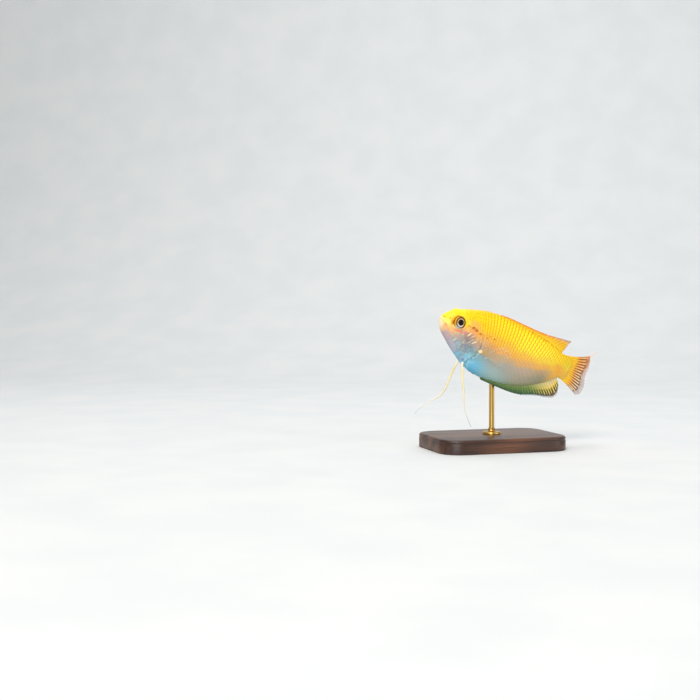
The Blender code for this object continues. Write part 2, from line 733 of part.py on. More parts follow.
def tidy_base(mesh):
    """Closes the base's block and rounds its upper rim."""
    work = bmesh.new()
    work.from_mesh(mesh)
    bmesh.ops.recalc_face_normals(work, faces=work.faces)
    rim = [e for e in work.edges if all(abs(v.co.z - BASE_SIZE.z) < 1e-6 for v in e.verts)]
    bmesh.ops.bevel(work, geom=rim, offset=BASE_BEVEL, segments=3, profile=0.6, affect="EDGES")
    bmesh.ops.triangulate(work, faces=work.faces)
    work.to_mesh(mesh)
    work.free()


def rounded_rectangle(length, width, radius, steps):
    points = []
    for corner, (sx, sy) in enumerate(((1, 1), (-1, 1), (-1, -1), (1, -1))):
        for k in range(steps + 1):
            a = math.pi / 2 * (corner + k / steps)
            x = sx * (length / 2 - radius) + radius * math.cos(a)
            points.append((x, sy * (width / 2 - radius) + radius * math.sin(a)))
    return points


def main():
    for old in list(bpy.data.objects):
        bpy.data.objects.remove(old)
    skin = make_material("gold_skin", (0.85, 0.50, 0.05), 0.4)
    fin_skin = make_material("fin_membrane", (0.80, 0.55, 0.12), 0.45)
    thread_skin = make_material("feeler", (0.85, 0.75, 0.45), 0.45)
    eye_skin = make_material("eye", (0.05, 0.04, 0.03), 0.15)
    walnut = make_material("walnut_base", (0.09, 0.045, 0.025), 0.4)
    brass = make_material("brass_rod", (0.60, 0.45, 0.20), 0.3, 1.0)

    nodes = build_head_and_trunk(skin)
    nodes += build_eyes(eye_skin)
    nodes += build_median_fins(fin_skin)
    nodes.append(build_caudal_fin(fin_skin))
    nodes.append(build_pectoral(-1, "pectoral_fin_left", fin_skin))
    nodes.append(build_pectoral(1, "pectoral_fin_right", fin_skin))
    nodes.append(build_feeler(FEELER_LEFT, "pelvic_feeler_left", thread_skin))
    nodes.append(build_feeler(FEELER_RIGHT, "pelvic_feeler_right", thread_skin))

    fish = bpy.data.objects.new("fish", None)
    bpy.context.scene.collection.objects.link(fish)
    fish.location = SNOUT_AT
    fish.rotation_euler = (0, FISH_PITCH, 0)
    for node in nodes:
        for v in node.data.vertices:
            v.co = swing(v.co)
        node.data.shade_smooth()
        node.parent = fish
    bpy.context.view_layer.update()
    trunk = next(node for node in nodes if node.name == "trunk")
    build_stand(trunk, walnut, brass)


main()
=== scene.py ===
"""Looks of the honey gourami model: painted skin, scales, fins with rays, eyes, feelers and stand.

The fish's own frame is in millimetres, straight, nose towards -X, back towards +Z and left side
towards -Y, with the snout at zero. Every piece is made there, then its rear is swung to the fish's
right, and the fish is pitched nose-up onto its place above the stand.
"""

import math

import bmesh
import bpy
import numpy as np
from bpy.props import FloatProperty, FloatVectorProperty, IntProperty, PointerProperty
from mathutils import Matrix, Vector


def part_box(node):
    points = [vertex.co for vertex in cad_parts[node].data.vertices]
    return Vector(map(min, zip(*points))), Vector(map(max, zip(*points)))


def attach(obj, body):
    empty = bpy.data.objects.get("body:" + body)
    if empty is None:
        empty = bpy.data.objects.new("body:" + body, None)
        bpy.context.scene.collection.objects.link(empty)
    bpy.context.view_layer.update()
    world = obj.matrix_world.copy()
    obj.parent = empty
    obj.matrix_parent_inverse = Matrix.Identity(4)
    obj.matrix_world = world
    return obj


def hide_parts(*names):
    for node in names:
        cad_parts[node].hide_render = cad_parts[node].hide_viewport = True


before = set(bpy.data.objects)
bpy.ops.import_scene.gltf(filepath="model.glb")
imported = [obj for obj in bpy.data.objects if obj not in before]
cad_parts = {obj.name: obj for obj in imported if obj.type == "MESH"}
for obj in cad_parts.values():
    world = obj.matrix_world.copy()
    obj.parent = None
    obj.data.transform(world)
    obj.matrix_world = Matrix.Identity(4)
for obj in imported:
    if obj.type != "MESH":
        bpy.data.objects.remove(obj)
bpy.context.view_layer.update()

bl_info = {
    "name": "Honey gourami model",
    "version": (1, 0, 0),
    "blender": (4, 5, 0),
    "location": "3D View > Sidebar > Gourami",
    "description": "A life-size honey gourami on a display stand",
    "category": "Object",
}

MM = 0.001
SEED = 11

# The body, as in the part: distance from the snout, height of the back and of the belly, half
# width, height of the widest line, fullness of the upper and of the lower half, in millimetres
STATIONS = np.array((
    (0.0, 2.35, -1.30, 0.95, 0.5, 2.1, 2.0),
    (1.5, 3.35, -2.95, 1.45, 0.3, 2.2, 1.9),
    (3.0, 4.75, -4.25, 2.00, 0.3, 2.3, 1.8),
    (5.0, 5.25, -5.95, 2.58, 0.2, 2.3, 1.75),
    (7.5, 5.98, -7.75, 3.00, -0.6, 2.2, 1.7),
    (10.0, 6.64, -9.35, 3.25, -1.4, 2.1, 1.75),
    (13.0, 7.20, -10.60, 3.45, -2.2, 2.0, 1.85),
    (16.0, 7.38, -11.05, 3.45, -2.4, 1.85, 1.85),
    (20.0, 7.05, -11.00, 3.20, -2.2, 1.75, 1.7),
    (24.0, 6.65, -10.80, 2.80, -1.9, 1.7, 1.6),
    (28.0, 6.15, -10.05, 2.35, -1.5, 1.65, 1.55),
    (32.0, 5.45, -8.60, 1.85, -1.0, 1.6, 1.5),
    (36.3, 4.45, -6.35, 1.35, -0.6, 1.6, 1.55),
    (40.8, 3.22, -3.70, 0.90, -0.2, 1.8, 1.8),
))
LENGTH = 40.8
HEAD_END = 14.5
WEDGE_END = 42.8
NOSE_TIP = -0.3
NOSE_ROUNDING = 1.4
NOSE_HEIGHT = 0.5
SWING_START = 29.0
SWING_END = 46.0
SWING_ANGLE = math.radians(22)
FISH_PITCH = math.radians(18.75)
SNOUT_AT = Vector((-16.5, -1.5, 36.2)) * MM

EYE_CENTRE = np.array((5.05, 2.25, 1.28))
EYE_RADIUS = 1.74
EYE_OUTER_DEPTH = 0.72
EYE_TURN = math.radians(11)
NOSTRILS = ((0.62, 1.62, 0.2), (2.15, 1.62, 0.24))
MOUTH_LINE = ((-1.2, 1.45), (0.0, 0.6), (0.8, 0.1), (1.5, -0.4))
GILL_EDGE = (
    (-12.0, 8.9), (-9.6, 9.9), (-8.0, 10.7), (-6.0, 11.9), (-3.4, 12.6), (-0.8, 12.5), (0.8, 12.1),
    (2.2, 11.4),
)

DORSAL_BASE = ((16.0, 31.0), (31.0, 39.0))
DORSAL_EDGES = (
    ((16.2, 7.4), (17.8, 7.56), (19.6, 7.6), (22.7, 7.42), (26.2, 7.14), (29.7, 6.92), (32.6, 6.84)),
    ((32.6, 6.84), (35.0, 6.98), (37.4, 7.25), (40.0, 7.52), (41.6, 7.6), (40.7, 6.4), (40.2, 5.2)),
)
ANAL_BASE = ((16.2, 29.2), (29.2, 39.9))
ANAL_EDGES = (
    ((17.0, -11.72), (19.5, -11.95), (22.5, -12.18), (25.8, -12.36), (28.4, -12.3), (30.6, -12.05)),
    ((30.6, -12.05), (34.7, -10.9), (38.8, -10.3), (41.2, -9.6), (42.3, -8.2), (42.1, -6.7), (41.7, -5.6)),
)
CAUDAL_EDGE = (
    (51.4, 5.85), (52.0, 4.6), (52.2, 2.6), (51.9, 0.6), (51.9, -0.9),
    (52.5, -2.6), (52.5, -4.4), (51.6, -5.9), (49.9, -6.5),
)
CAUDAL_BOW = 0.35
CAUDAL_THREAD = ((49.6, 5.3), (50.9, 5.75), (51.6, 6.1), (52.5, 6.8), (53.65, 7.75))
PECTORAL_ROOT = (13.2, -4.5)
PECTORAL_LENGTH = 8.4
PECTORAL_FAN = math.radians(46)
PECTORAL_LIFT = math.radians(7)
PECTORAL_SPREAD = (math.radians(20), math.radians(32))
PECTORAL_ROOT_WIDTH = 1.7
FEELERS = {
    "pelvic_feeler_left": (
        (6.6, -0.75, -11.5), (6.5, -0.8, -12.0), (6.4, -1.1, -13.9), (6.3, -1.5, -16.5), (6.5, -1.8, -19.2),
        (6.5, -2.1, -22.0), (6.5, -2.5, -24.1), (6.8, -2.8, -25.8), (7.1, -3.1, -26.7), (7.5, -3.5, -28.2),
        (8.0, -3.8, -29.4),
    ),
    "pelvic_feeler_right": (
        (6.0, 0.75, -10.9), (5.8, 0.8, -11.3), (4.5, 1.3, -14.0), (3.9, 1.5, -15.7), (3.2, 1.8, -17.4),
        (2.6, 2.0, -18.9), (1.2, 2.5, -20.9), (-0.8, 3.0, -22.1), (-3.0, 3.5, -23.5), (-4.3, 3.7, -24.5),
        (-5.8, 4.2, -26.0),
    ),
}

# Sides of a fin ray's rod
RAY_SIDES = 6

# The stand, in millimetres
BASE_CORNER = 6
BASE_ROUNDING = 0.75
CORNER_POINTS = 15
ROD_RADIUS = 0.75
ROD_SIDES = 48

# The camera: the photo's frame is 700 pixels square
IMAGE_SIZE = 700
FOCAL_PIXELS = 1110
MM_PER_PIXEL = 0.2753
SNOUT_PIXEL = (439.6, 320.5)
FISH_PIXEL = (515.0, 365.0)
VIEW_AZIMUTH = math.radians(-25)
VIEW_ELEVATION = math.radians(3)
SENSOR_MM = 36


def linear(code):
    """An sRGB hex colour as linear red, green, blue and full opacity."""
    values = [int(code[i : i + 2], 16) / 255 for i in (1, 3, 5)]
    return (*[v / 12.92 if v <= 0.04045 else ((v + 0.055) / 1.055) ** 2.4 for v in values], 1.0)


def smooth(points):
    """A smooth function through (place, value) pairs, flat beyond the ends."""
    places, values = np.array(points, float).T
    slopes = np.gradient(values, places)

    def value_at(place):
        place = np.clip(place, places[0], places[-1])
        i = np.clip(np.searchsorted(places, place) - 1, 0, len(places) - 2)
        step = places[i + 1] - places[i]
        t = (place - places[i]) / step
        rise = (2 * t**3 - 3 * t**2 + 1) * values[i] + (3 * t**2 - 2 * t**3) * values[i + 1]
        return rise + step * ((t**3 - 2 * t**2 + t) * slopes[i] + (t**3 - t**2) * slopes[i + 1])

    return value_at


def smooth_path(points):
    """A function from 0..1 to points on a smooth path through points, even in length."""
    points = np.array(points, float)
    lengths = np.r_[0, np.cumsum(np.linalg.norm(np.diff(points, axis=0), axis=1))]
    parts = [smooth(np.c_[lengths / lengths[-1], points[:, i]]) for i in range(points.shape[1])]
    return lambda share: np.stack([part(share) for part in parts], -1)


def ease(low, high, value):
    """0 below low, 1 above high and smooth between."""
    t = np.clip((value - low) / (high - low), 0, 1)
    return t * t * (3 - 2 * t)


def bump(value, middle, width):
    return np.exp(-(((value - middle) / width) ** 2))


WEDGE = np.array(((41.8, 3.3, -3.8, 0.55, -0.2, 1.9, 1.9), (WEDGE_END, 3.25, -3.8, 0.2, -0.2, 2.0, 2.0)))
ALL_STATIONS = np.vstack((STATIONS, WEDGE))
back_height, belly_height, half_width, wide_height, upper_fullness, lower_fullness = (
    smooth(np.c_[ALL_STATIONS[:, 0], ALL_STATIONS[:, i]]) for i in range(1, 7)
)
gill_edge = smooth(GILL_EDGE)


def skin_at(x, angle):
    """Point of the body at x, where angle 0 is the right side and a quarter turn the back."""
    near = np.clip((x - NOSE_TIP) / NOSE_ROUNDING, 0, 1)
    rounding = np.sqrt(np.maximum(0, 1 - (1 - near) ** 2))
    top = NOSE_HEIGHT + (back_height(x) - NOSE_HEIGHT) * rounding
    bottom = NOSE_HEIGHT + (belly_height(x) - NOSE_HEIGHT) * rounding
    widest = NOSE_HEIGHT + (wide_height(x) - NOSE_HEIGHT) * rounding
    c, s = np.cos(angle), np.sin(angle)
    full = np.where(s > 0, upper_fullness(x), lower_fullness(x))
    reach = np.where(s > 0, top - widest, widest - bottom)
    y = np.sign(c) * np.abs(c) ** (2 / full) * half_width(x) * rounding
    z = widest + np.sign(s) * np.abs(s) ** (2 / full) * reach
    return np.stack([x + 0 * angle, y, z], -1)


def skin_normal(x, angle):
    """Direction out of the body at x and angle."""
    step = 0.01
    around = skin_at(x, angle + step) - skin_at(x, angle - step)
    along = skin_at(x + step, angle) - skin_at(np.maximum(x - step, NOSE_TIP + 0.001), angle)
    normal = np.cross(around, along)
    return normal / (np.linalg.norm(normal, axis=-1, keepdims=True) + 1e-12)


def skin_half(x, z):
    """Half width of the body at x and height z."""
    top, bottom, widest = back_height(x), belly_height(x), wide_height(x)
    up = z > widest
    share = (z - widest) / (top - widest) if up else (widest - z) / (widest - bottom)
    full = upper_fullness(x) if up else lower_fullness(x)
    return float(half_width(x) * max(0.0, 1 - abs(share) ** full) ** (1 / full))


def swing_turn(x):
    return SWING_ANGLE * ease(SWING_START, SWING_END, x)


SWING_X = np.linspace(SWING_START, 60, 800)
SWING_STEP = SWING_X[1] - SWING_X[0]
SWING_ROUTE = np.stack([
    SWING_START + np.r_[0, np.cumsum(np.cos(swing_turn(SWING_X[:-1] + SWING_STEP / 2)))] * SWING_STEP,
    np.r_[0, np.cumsum(np.sin(swing_turn(SWING_X[:-1] + SWING_STEP / 2)))] * SWING_STEP,
])


def to_world(points):
    """Points of the fish's own frame, in millimetres, put in their place in metres."""
    points = np.asarray(points, float)
    x, y, z = points[..., 0], points[..., 1], points[..., 2]
    turn = swing_turn(x)
    middle_x = np.where(x <= SWING_START, x, np.interp(x, SWING_X, SWING_ROUTE[0]))
    middle_y = np.where(x <= SWING_START, 0, np.interp(x, SWING_X, SWING_ROUTE[1]))
    x, y = middle_x - np.sin(turn) * y, middle_y + np.cos(turn) * y
    c, s = math.cos(FISH_PITCH), math.sin(FISH_PITCH)
    placed = np.stack([x * c + z * s, y, z * c - x * s], -1)
    return placed * MM + np.array(SNOUT_AT)


def pitched_to_body(points):
    """Points measured level, with the snout at zero, turned into the fish's own frame."""
    points = np.asarray(points, float)
    x, y, z = points.T
    c, s = math.cos(FISH_PITCH), math.sin(FISH_PITCH)
    return np.stack([x * c - z * s, y, x * s + z * c], -1)


def mark_points(mesh, key, values):
    """Gives each point of a mesh a vector of its own under a name."""
    made = mesh.attributes.new(key, "FLOAT_VECTOR", "POINT")
    made.data.foreach_set("vector", np.asarray(values, float).ravel())


def read_vectors(items, key):
    """The vectors of a mesh's points or of an attribute, one in each row."""
    values = np.zeros(len(items) * 3)
    items.foreach_get(key, values)
    return values.reshape(-1, 3)


def new_mesh(name, points, faces, **vectors):
    """A smooth shaded mesh, with named vectors on its points."""
    mesh = bpy.data.meshes.new(name)
    mesh.from_pydata(np.asarray(points).tolist(), [], faces)
    for key, values in vectors.items():
        mark_points(mesh, key, values)
    mesh.shade_smooth()
    return mesh


def new_object(name, data, material=None):
    """An object of a mesh, a curve, a lamp or a camera, in the scene."""
    made = bpy.data.objects.new(name, data)
    bpy.context.scene.collection.objects.link(made)
    if material:
        data.materials.clear()
        data.materials.append(material)
    return made


def settle(name, mesh, material, slot, *nodes):
    """Makes a finished piece, faces out, with its body, its finish and the solids that it stands for."""
    outward(mesh)
    piece = new_object(name, mesh, material)
    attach(piece, "root")
    if nodes:
        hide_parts(*nodes)


def grid_faces(rows, columns, wrap=False):
    """Quads over a grid of points, row after row; wrap closes each row on itself."""
    faces = []
    for i in range(rows - 1):
        for j in range(columns if wrap else columns - 1):
            k = (j + 1) % columns
            a, b = i * columns, (i + 1) * columns
            faces.append((a + j, a + k, b + k, b + j))
    return faces


def tube_faces(rows, columns):
    """A grid closed round into a tube, with both of its ends capped."""
    first, last = range(columns), range((rows - 1) * columns, rows * columns)
    return [*grid_faces(rows, columns, wrap=True), tuple(reversed(first)), tuple(last)]


def sheet_faces(rows, columns):
    """A grid, the same grid again turned over, and the band that closes their rim."""
    count = rows * columns
    faces = grid_faces(rows, columns)
    faces += [tuple(count + k for k in reversed(face)) for face in faces]
    rim = list(range(columns)) + [i * columns + columns - 1 for i in range(1, rows)]
    rim += [(rows - 1) * columns + j for j in range(columns - 2, -1, -1)]
    rim += [i * columns for i in range(rows - 2, 0, -1)]
    return faces + [(b, a, a + count, b + count) for a, b in zip(rim, rim[1:] + rim[:1])]


def turned_mesh(profile, sides):
    """A closed turned shape about +Y from (radius, height) points that start and end on the axis."""
    points, faces = [(0, profile[0][1], 0)], []
    for radius, height in profile[1:-1]:
        for j in range(sides):
            a = 2 * math.pi * j / sides
            points.append((radius * math.cos(a), height, radius * math.sin(a)))
    points.append((0, profile[-1][1], 0))
    rings = len(profile) - 2
    for j in range(sides):
        k = (j + 1) % sides
        faces.append((0, 1 + j, 1 + k))
        faces.append((1 + (rings - 1) * sides + k, 1 + (rings - 1) * sides + j, len(points) - 1))
        for i in range(rings - 1):
            a, b = 1 + i * sides, 1 + (i + 1) * sides
            faces.append((a + j, b + j, b + k, a + k))
    return np.array(points), faces


def outward(mesh):
    """Turns a closed mesh's faces outward."""
    work = bmesh.new()
    work.from_mesh(mesh)
    bmesh.ops.recalc_face_normals(work, faces=work.faces)
    if work.calc_volume(signed=True) < 0:
        bmesh.ops.reverse_faces(work, faces=work.faces)
    work.to_mesh(mesh)
    work.free()


# Materials


class Value:
    """One output of a node. Arithmetic with it adds Math nodes to its tree."""

    def __init__(self, tree, node, output=0):
        self.tree, self.node = tree, node
        self.socket = node.outputs[output] if node.outputs else None

    def maths(self, operation, other=0.0):
        return add(self.tree, "ShaderNodeMath", {0: self, 1: other}, operation=operation)

    def __add__(self, other):
        return self.maths("ADD", other)

    def __sub__(self, other):
        return self.maths("SUBTRACT", other)

    def __mul__(self, other):
        return self.maths("MULTIPLY", other)

    def __truediv__(self, other):
        return self.maths("DIVIDE", other)

    def parts(self):
        """Its x, y and z."""
        node = add(self.tree, "ShaderNodeSeparateXYZ", {0: self}).node
        return [Value(self.tree, node, i) for i in range(3)]

    def eased(self, low, high):
        """0 at low, 1 at high and smooth between."""
        settings = {"Value": self, "From Min": low, "From Max": high}
        return add(self.tree, "ShaderNodeMapRange", settings, interpolation_type="SMOOTHSTEP")

    def blend(self, a, b, mode="MIX"):
        """The colour a where the value is 0, and b (a colour or a hex code) where it is 1."""
        b = linear(b) if isinstance(b, str) else b
        return add(self.tree, "ShaderNodeMix", {0: self, 6: a, 7: b}, 2, data_type="RGBA", blend_type=mode)

    def ramp(self, stops):
        """A colour ramp through (place, hex code) stops."""
        made = add(self.tree, "ShaderNodeValToRGB", {0: self})
        made.node.color_ramp.interpolation = "EASE"
        elements = made.node.color_ramp.elements
        while len(elements) < len(stops):
            elements.new(0.5)
        for element, (place, code) in zip(elements, stops):
            element.position = place
            element.color = linear(code)
        return made


def add(tree, kind, inputs=None, output=0, **settings):
    """Adds a node with its settings, its inputs' values and its links, and gives one of its outputs."""
    made = tree.nodes.new(kind)
    for key, value in settings.items():
        setattr(made, key, value)
    for key, value in (inputs or {}).items():
        if isinstance(value, Value):
            tree.links.new(value.socket, made.inputs[key])
        else:
            made.inputs[key].default_value = value
    return Value(tree, made, output)


def new_material(name, roughness, **settings):
    """A material with its Principled shader's own values set, and its node tree."""
    made = bpy.data.materials.new(name)
    made.use_nodes = True
    shader = made.node_tree.nodes["Principled BSDF"]
    for key, value in {"Roughness": roughness, **settings}.items():
        shader.inputs[key.replace("_", " ")].default_value = value
    return made, made.node_tree


def finish(made, colour, height=None, strength=0.0, depth=0.0):
    """Links a material's colour and the relief of a height that is worth depth millimetres."""
    links, inputs = made.node_tree.links, made.node_tree.nodes["Principled BSDF"].inputs
    if colour:
        links.new(colour.socket, inputs["Base Color"])
    if height:
        settings = {"Strength": strength, "Distance": depth * MM, "Height": height}
        links.new(add(made.node_tree, "ShaderNodeBump", settings).socket, inputs["Normal"])
    return made


def fish_coordinates(tree):
    """The fish's own frame in millimetres, from where the surface lies."""
    place = {"Location": tuple(SNOUT_AT), "Rotation": (0, FISH_PITCH, 0), "Scale": (MM, MM, MM)}
    where = add(tree, "ShaderNodeTexCoord", output="Object")
    return add(tree, "ShaderNodeMapping", {"Vector": where, **place}, vector_type="TEXTURE")


def station_curve(x, column):
    """Height of the back or the belly at x, in millimetres, as a curve through the stations."""
    span = 24.0
    curve = add(x.tree, "ShaderNodeFloatCurve", {"Value": x / LENGTH})
    points = curve.node.mapping.curves[0].points
    while len(points) < len(STATIONS):
        points.new(0.5, 0.5)
    for point, station in zip(points, STATIONS):
        point.location = (station[0] / LENGTH, station[column] / span + 0.5)
    curve.node.mapping.update()
    return (curve - 0.5) * span


# Colours from the belly (0) to the back (1), at seven places along the fish in millimetres from its
# snout, with a smooth change from each place to the next
PAINT = (
    (2.0, (
        (0.0, "#A4949C"), (0.18, "#B8A09E"), (0.3, "#ECB274"), (0.4, "#FCC86C"), (0.52, "#FFDC50"),
        (0.76, "#FFDE2C"), (1.0, "#FFE018"),
    )),
    (7.5, (
        (0.0, "#7CAAC0"), (0.12, "#809AA8"), (0.26, "#868E94"), (0.4, "#948480"), (0.5, "#BE8A74"),
        (0.58, "#F8B450"), (0.7, "#FFD610"), (1.0, "#FFD604"),
    )),
    (12.5, (
        (0.0, "#66BAE2"), (0.12, "#72C4E4"), (0.26, "#86AEB6"), (0.38, "#A49C8C"), (0.47, "#D0A068"),
        (0.58, "#F4B044"), (0.72, "#FFD014"), (0.86, "#FFDA04"), (1.0, "#FFD000"),
    )),
    (19.0, (
        (0.0, "#A0C8C0"), (0.1, "#A8C2BE"), (0.26, "#AAB0A8"), (0.37, "#C8AA80"), (0.46, "#F2A844"),
        (0.58, "#FCC034"), (0.74, "#FFDC14"), (0.9, "#FFE004"), (1.0, "#F8C800"),
    )),
    (28.0, (
        (0.0, "#929A6C"), (0.09, "#A8A088"), (0.28, "#C2AA92"), (0.4, "#E6AE68"), (0.52, "#FCC240"),
        (0.66, "#FFEA2C"), (0.9, "#FFE810"), (1.0, "#F8C80C"),
    )),
    (34.0, (
        (0.0, "#94906C"), (0.12, "#9C947A"), (0.28, "#BCA07A"), (0.4, "#F4B44C"), (0.54, "#FFD834"),
        (0.7, "#FFEA30"), (0.9, "#FFE414"), (1.0, "#FACC0C"),
    )),
    (39.5, (
        (0.0, "#F4BC40"), (0.22, "#FCB834"), (0.42, "#FFC824"), (0.6, "#FFD81C"), (0.85, "#FFDC14"),
        (1.0, "#FFCE10"),
    )),
)

# Marks of one colour with ragged edges, each laid over those before it: place along and up in
# millimetres, reach along and up, slant in degrees, colour, strength
MARKS = (
    (1.5, 0.5, 1.1, 0.9, -20, "#FFE884", 0.55),
    # Pale cream on the snout's front, with a painted highlight along its edge
    (-0.1, -0.4, 1.1, 2.6, 12, "#FBE6BC", 0.85),
    (1.0, -2.0, 0.9, 1.0, 0, "#F8C078", 0.5),
    (5.3, -1.1, 1.4, 0.5, -4, "#EE6C50", 0.62),
    (6.9, -1.05, 1.1, 0.42, 0, "#E48480", 0.45),
    (3.6, -1.0, 1.1, 0.45, -30, "#F4987C", 0.4),
    (3.1, 1.5, 0.6, 1.3, -12, "#F09C08", 0.8),
    (3.15, 0.75, 0.36, 0.8, 0, "#B4660A", 0.85),
    (3.9, 2.9, 0.9, 0.35, 36, "#E08C08", 0.7),
    # Dark brown in the two nostrils is painted shade in their pits
    (0.56, 1.56, 0.26, 0.24, 0, "#7A5418", 0.85),
    (2.15, 1.56, 0.22, 0.4, 0, "#C67C30", 0.65),
    (1.6, -0.5, 0.6, 0.3, -48, "#F08878", 0.75),
    (2.5, -1.3, 0.6, 0.32, -46, "#F49A6A", 0.65),
    (3.3, -3.0, 1.3, 1.2, 0, "#C8A0A4", 0.2),
    (8.0, 1.15, 0.9, 0.4, -12, "#F0682C", 0.8),
    (9.6, 1.9, 2.2, 1.4, -20, "#FBB060", 0.7),
    (9.2, 0.2, 1.9, 0.9, -16, "#F49A5C", 0.6),
    (13.6, -1.7, 2.6, 1.1, -16, "#DCB27C", 0.5),
    (9.05, 1.0, 0.6, 0.42, 40, "#A0441C", 0.9),
    (10.1, 0.72, 0.7, 0.54, -35, "#A85C34", 0.85),
    (11.5, 0.05, 0.52, 0.38, 30, "#B46C18", 0.85),
    (13.8, -0.4, 0.34, 0.28, 0, "#B87818", 0.8),
    (14.6, 0.3, 0.32, 0.22, 0, "#C88A20", 0.6),
    (16.0, 0.0, 0.32, 0.28, 0, "#965E0C", 0.9),
    (18.4, 0.2, 0.28, 0.22, 0, "#C08420", 0.45),
    (8.55, -1.0, 0.95, 0.26, 52, "#FFE8B4", 0.85),
    (9.75, -1.2, 0.9, 0.2, 38, "#F6CFA4", 0.7),
    (10.9, -1.5, 0.8, 0.22, 30, "#E8BC90", 0.5),
    (10.6, -2.7, 1.05, 0.26, 40, "#F6E2BE", 0.75),
    (9.2, -3.0, 0.7, 0.2, 50, "#DCCCB8", 0.6),
    (11.7, -3.4, 0.7, 0.4, 60, "#DE9C84", 0.6),
    (12.9, -4.5, 0.6, 0.5, 50, "#FFE9B0", 0.9),
    (8.6, -4.35, 0.8, 0.5, 40, "#8A8C9C", 0.6),
    (12.7, -2.9, 0.8, 0.7, 0, "#A48686", 0.6),
    (5.4, -5.3, 2.2, 0.7, -48, "#B4ACBC", 0.6),
    (6.2, -2.6, 1.6, 0.9, 0, "#B0A09C", 0.5),
    (6.5, -4.4, 1.1, 0.8, 50, "#9CB8C2", 0.5),
    (5.2, -3.6, 0.6, 0.3, 60, "#CCD0C4", 0.65),
    (7.6, -7.0, 0.9, 0.55, 50, "#70C2E4", 0.5),
    (10.1, -6.8, 1.3, 0.8, 40, "#7CC6DC", 0.45),
    (9.5, -8.1, 0.5, 0.4, 20, "#7A7EB0", 0.6),
    (11.5, -6.1, 0.7, 0.45, 50, "#74B4B8", 0.55),
    # A whitish spot below the breast fin's root is a painted highlight of its lower rays
    (15.2, -5.8, 0.5, 0.26, 10, "#E0E4DC", 0.6),
    (38.9, -1.3, 1.8, 1.5, -20, "#F4983C", 0.45),
    (42.3, 0.6, 1.2, 2.8, 0, "#FFE420", 0.6),
)


def fish_paint(tree):
    """The markings that the skin and the scales share, as (colour, height share, coordinates)."""
    where = fish_coordinates(tree)
    drift = add(tree, "ShaderNodeTexNoise", {"Vector": where, "Scale": 0.35, "Detail": 3.0})
    flecks = add(tree, "ShaderNodeTexNoise", {"Vector": where, "Scale": 1.5, "Detail": 4.0, "Roughness": 0.6})
    x, _, z = where.parts()
    belly, back = station_curve(x, 2), station_curve(x, 1)
    share = (z - belly) / (back - belly) + (drift - 0.5) * 0.12
    colour = share.ramp(PAINT[0][1])
    for (place, _), (after, stops) in zip(PAINT, PAINT[1:]):
        colour = x.eased(place, after).blend(colour, share.ramp(stops))
    # The cheek and the gill cover are mottled: cream and slate flecks about a millimetre across
    cheek = x.eased(3.4, 5.4) * x.eased(13.4, 11.6) * (share.eased(0.66, 0.5) * share.eased(0.0, 0.14))
    for low, high, code, strength in ((0.54, 0.66, "#E0D0B8", 0.5), (0.47, 0.35, "#6C7686", 0.6)):
        colour = (flecks.eased(low, high) * cheek * strength).blend(colour, code)
    # The nape is mottled with amber where its first scales begin
    nape = x.eased(5.5, 8.0) * x.eased(15.0, 11.0) * share.eased(0.66, 0.76) * flecks.eased(0.5, 0.64)
    colour = (nape * 0.75).blend(colour, "#FFAE04")
    ragged = (flecks - 0.5) * 2.6
    for along, up, reach, rise, slant, code, strength in MARKS:
        c, s = math.cos(math.radians(slant)), math.sin(math.radians(slant))
        off_x, off_z = x - along, z - up
        near_x = off_x * (c / reach) + off_z * (s / reach)
        near_z = off_z * (c / rise) - off_x * (s / rise)
        away = near_x.maths("POWER", 2.0) + near_z.maths("POWER", 2.0) + ragged
        colour = (away.eased(1.25, 0.1) * strength).blend(colour, code)
    return colour, share, where


def skin_material():
    """Painted skin under a satin varnish: fine mottling under the scales, with a moist gloss."""
    varnish = {"Coat_Weight": 0.16, "Coat_Roughness": 0.22, "Specular_IOR_Level": 0.22}
    made, tree = new_material("painted_fish_skin", 0.4, **varnish)
    colour, _, where = fish_paint(tree)
    fine = {"Vector": where, "Scale": 2.6, "Detail": 4.0, "Roughness": 0.65}
    mottle = add(tree, "ShaderNodeTexNoise", fine)
    colour = (mottle.eased(0.3, 0.72) * 0.28).blend(colour, "#FFF4D8", "SOFT_LIGHT")
    grain = add(tree, "ShaderNodeTexNoise", {"Vector": where, "Scale": 9.0, "Detail": 3.0})
    return finish(made, colour, grain, 0.25, 0.04)


def scale_material(colours):
    """Painted scales: the skin's colours, a darker golden rim, fine growth rings, a light gloss and a pale
    pearly painted sheen in the middle of each scale.
    """
    varnish = {"Coat_Weight": 0.08, "Coat_Roughness": 0.2, "Specular_IOR_Level": 0.2}
    made, tree = new_material("painted_fish_scales", 0.4, **varnish)
    colour, share, where = fish_paint(tree)
    across, along, _ = add(tree, "ShaderNodeAttribute", output="Vector", attribute_name="blade").parts()
    rim = across.maths("POWER", 2.0) * 0.05 + along.maths("POWER", 2.0)
    upper = share.eased(0.4, 0.7)
    strength = (upper * 0.54 + 0.24) * where.parts()[0].eased(6.5, 15.0)
    rim_colour = upper.blend((*colours.lower_rim, 1.0), (*colours.upper_rim, 1.0))
    colour = (rim.eased(0.6, 0.92) * strength).blend(colour, rim_colour)
    # Painted sheen: the middle of each scale is blended a little towards pale cream.
    colour = (rim.eased(0.45, 0.1) * 0.1).blend(colour, "#FFF8B0")
    return finish(made, colour, (rim * 34.0).maths("SINE"), 0.2, 0.02)


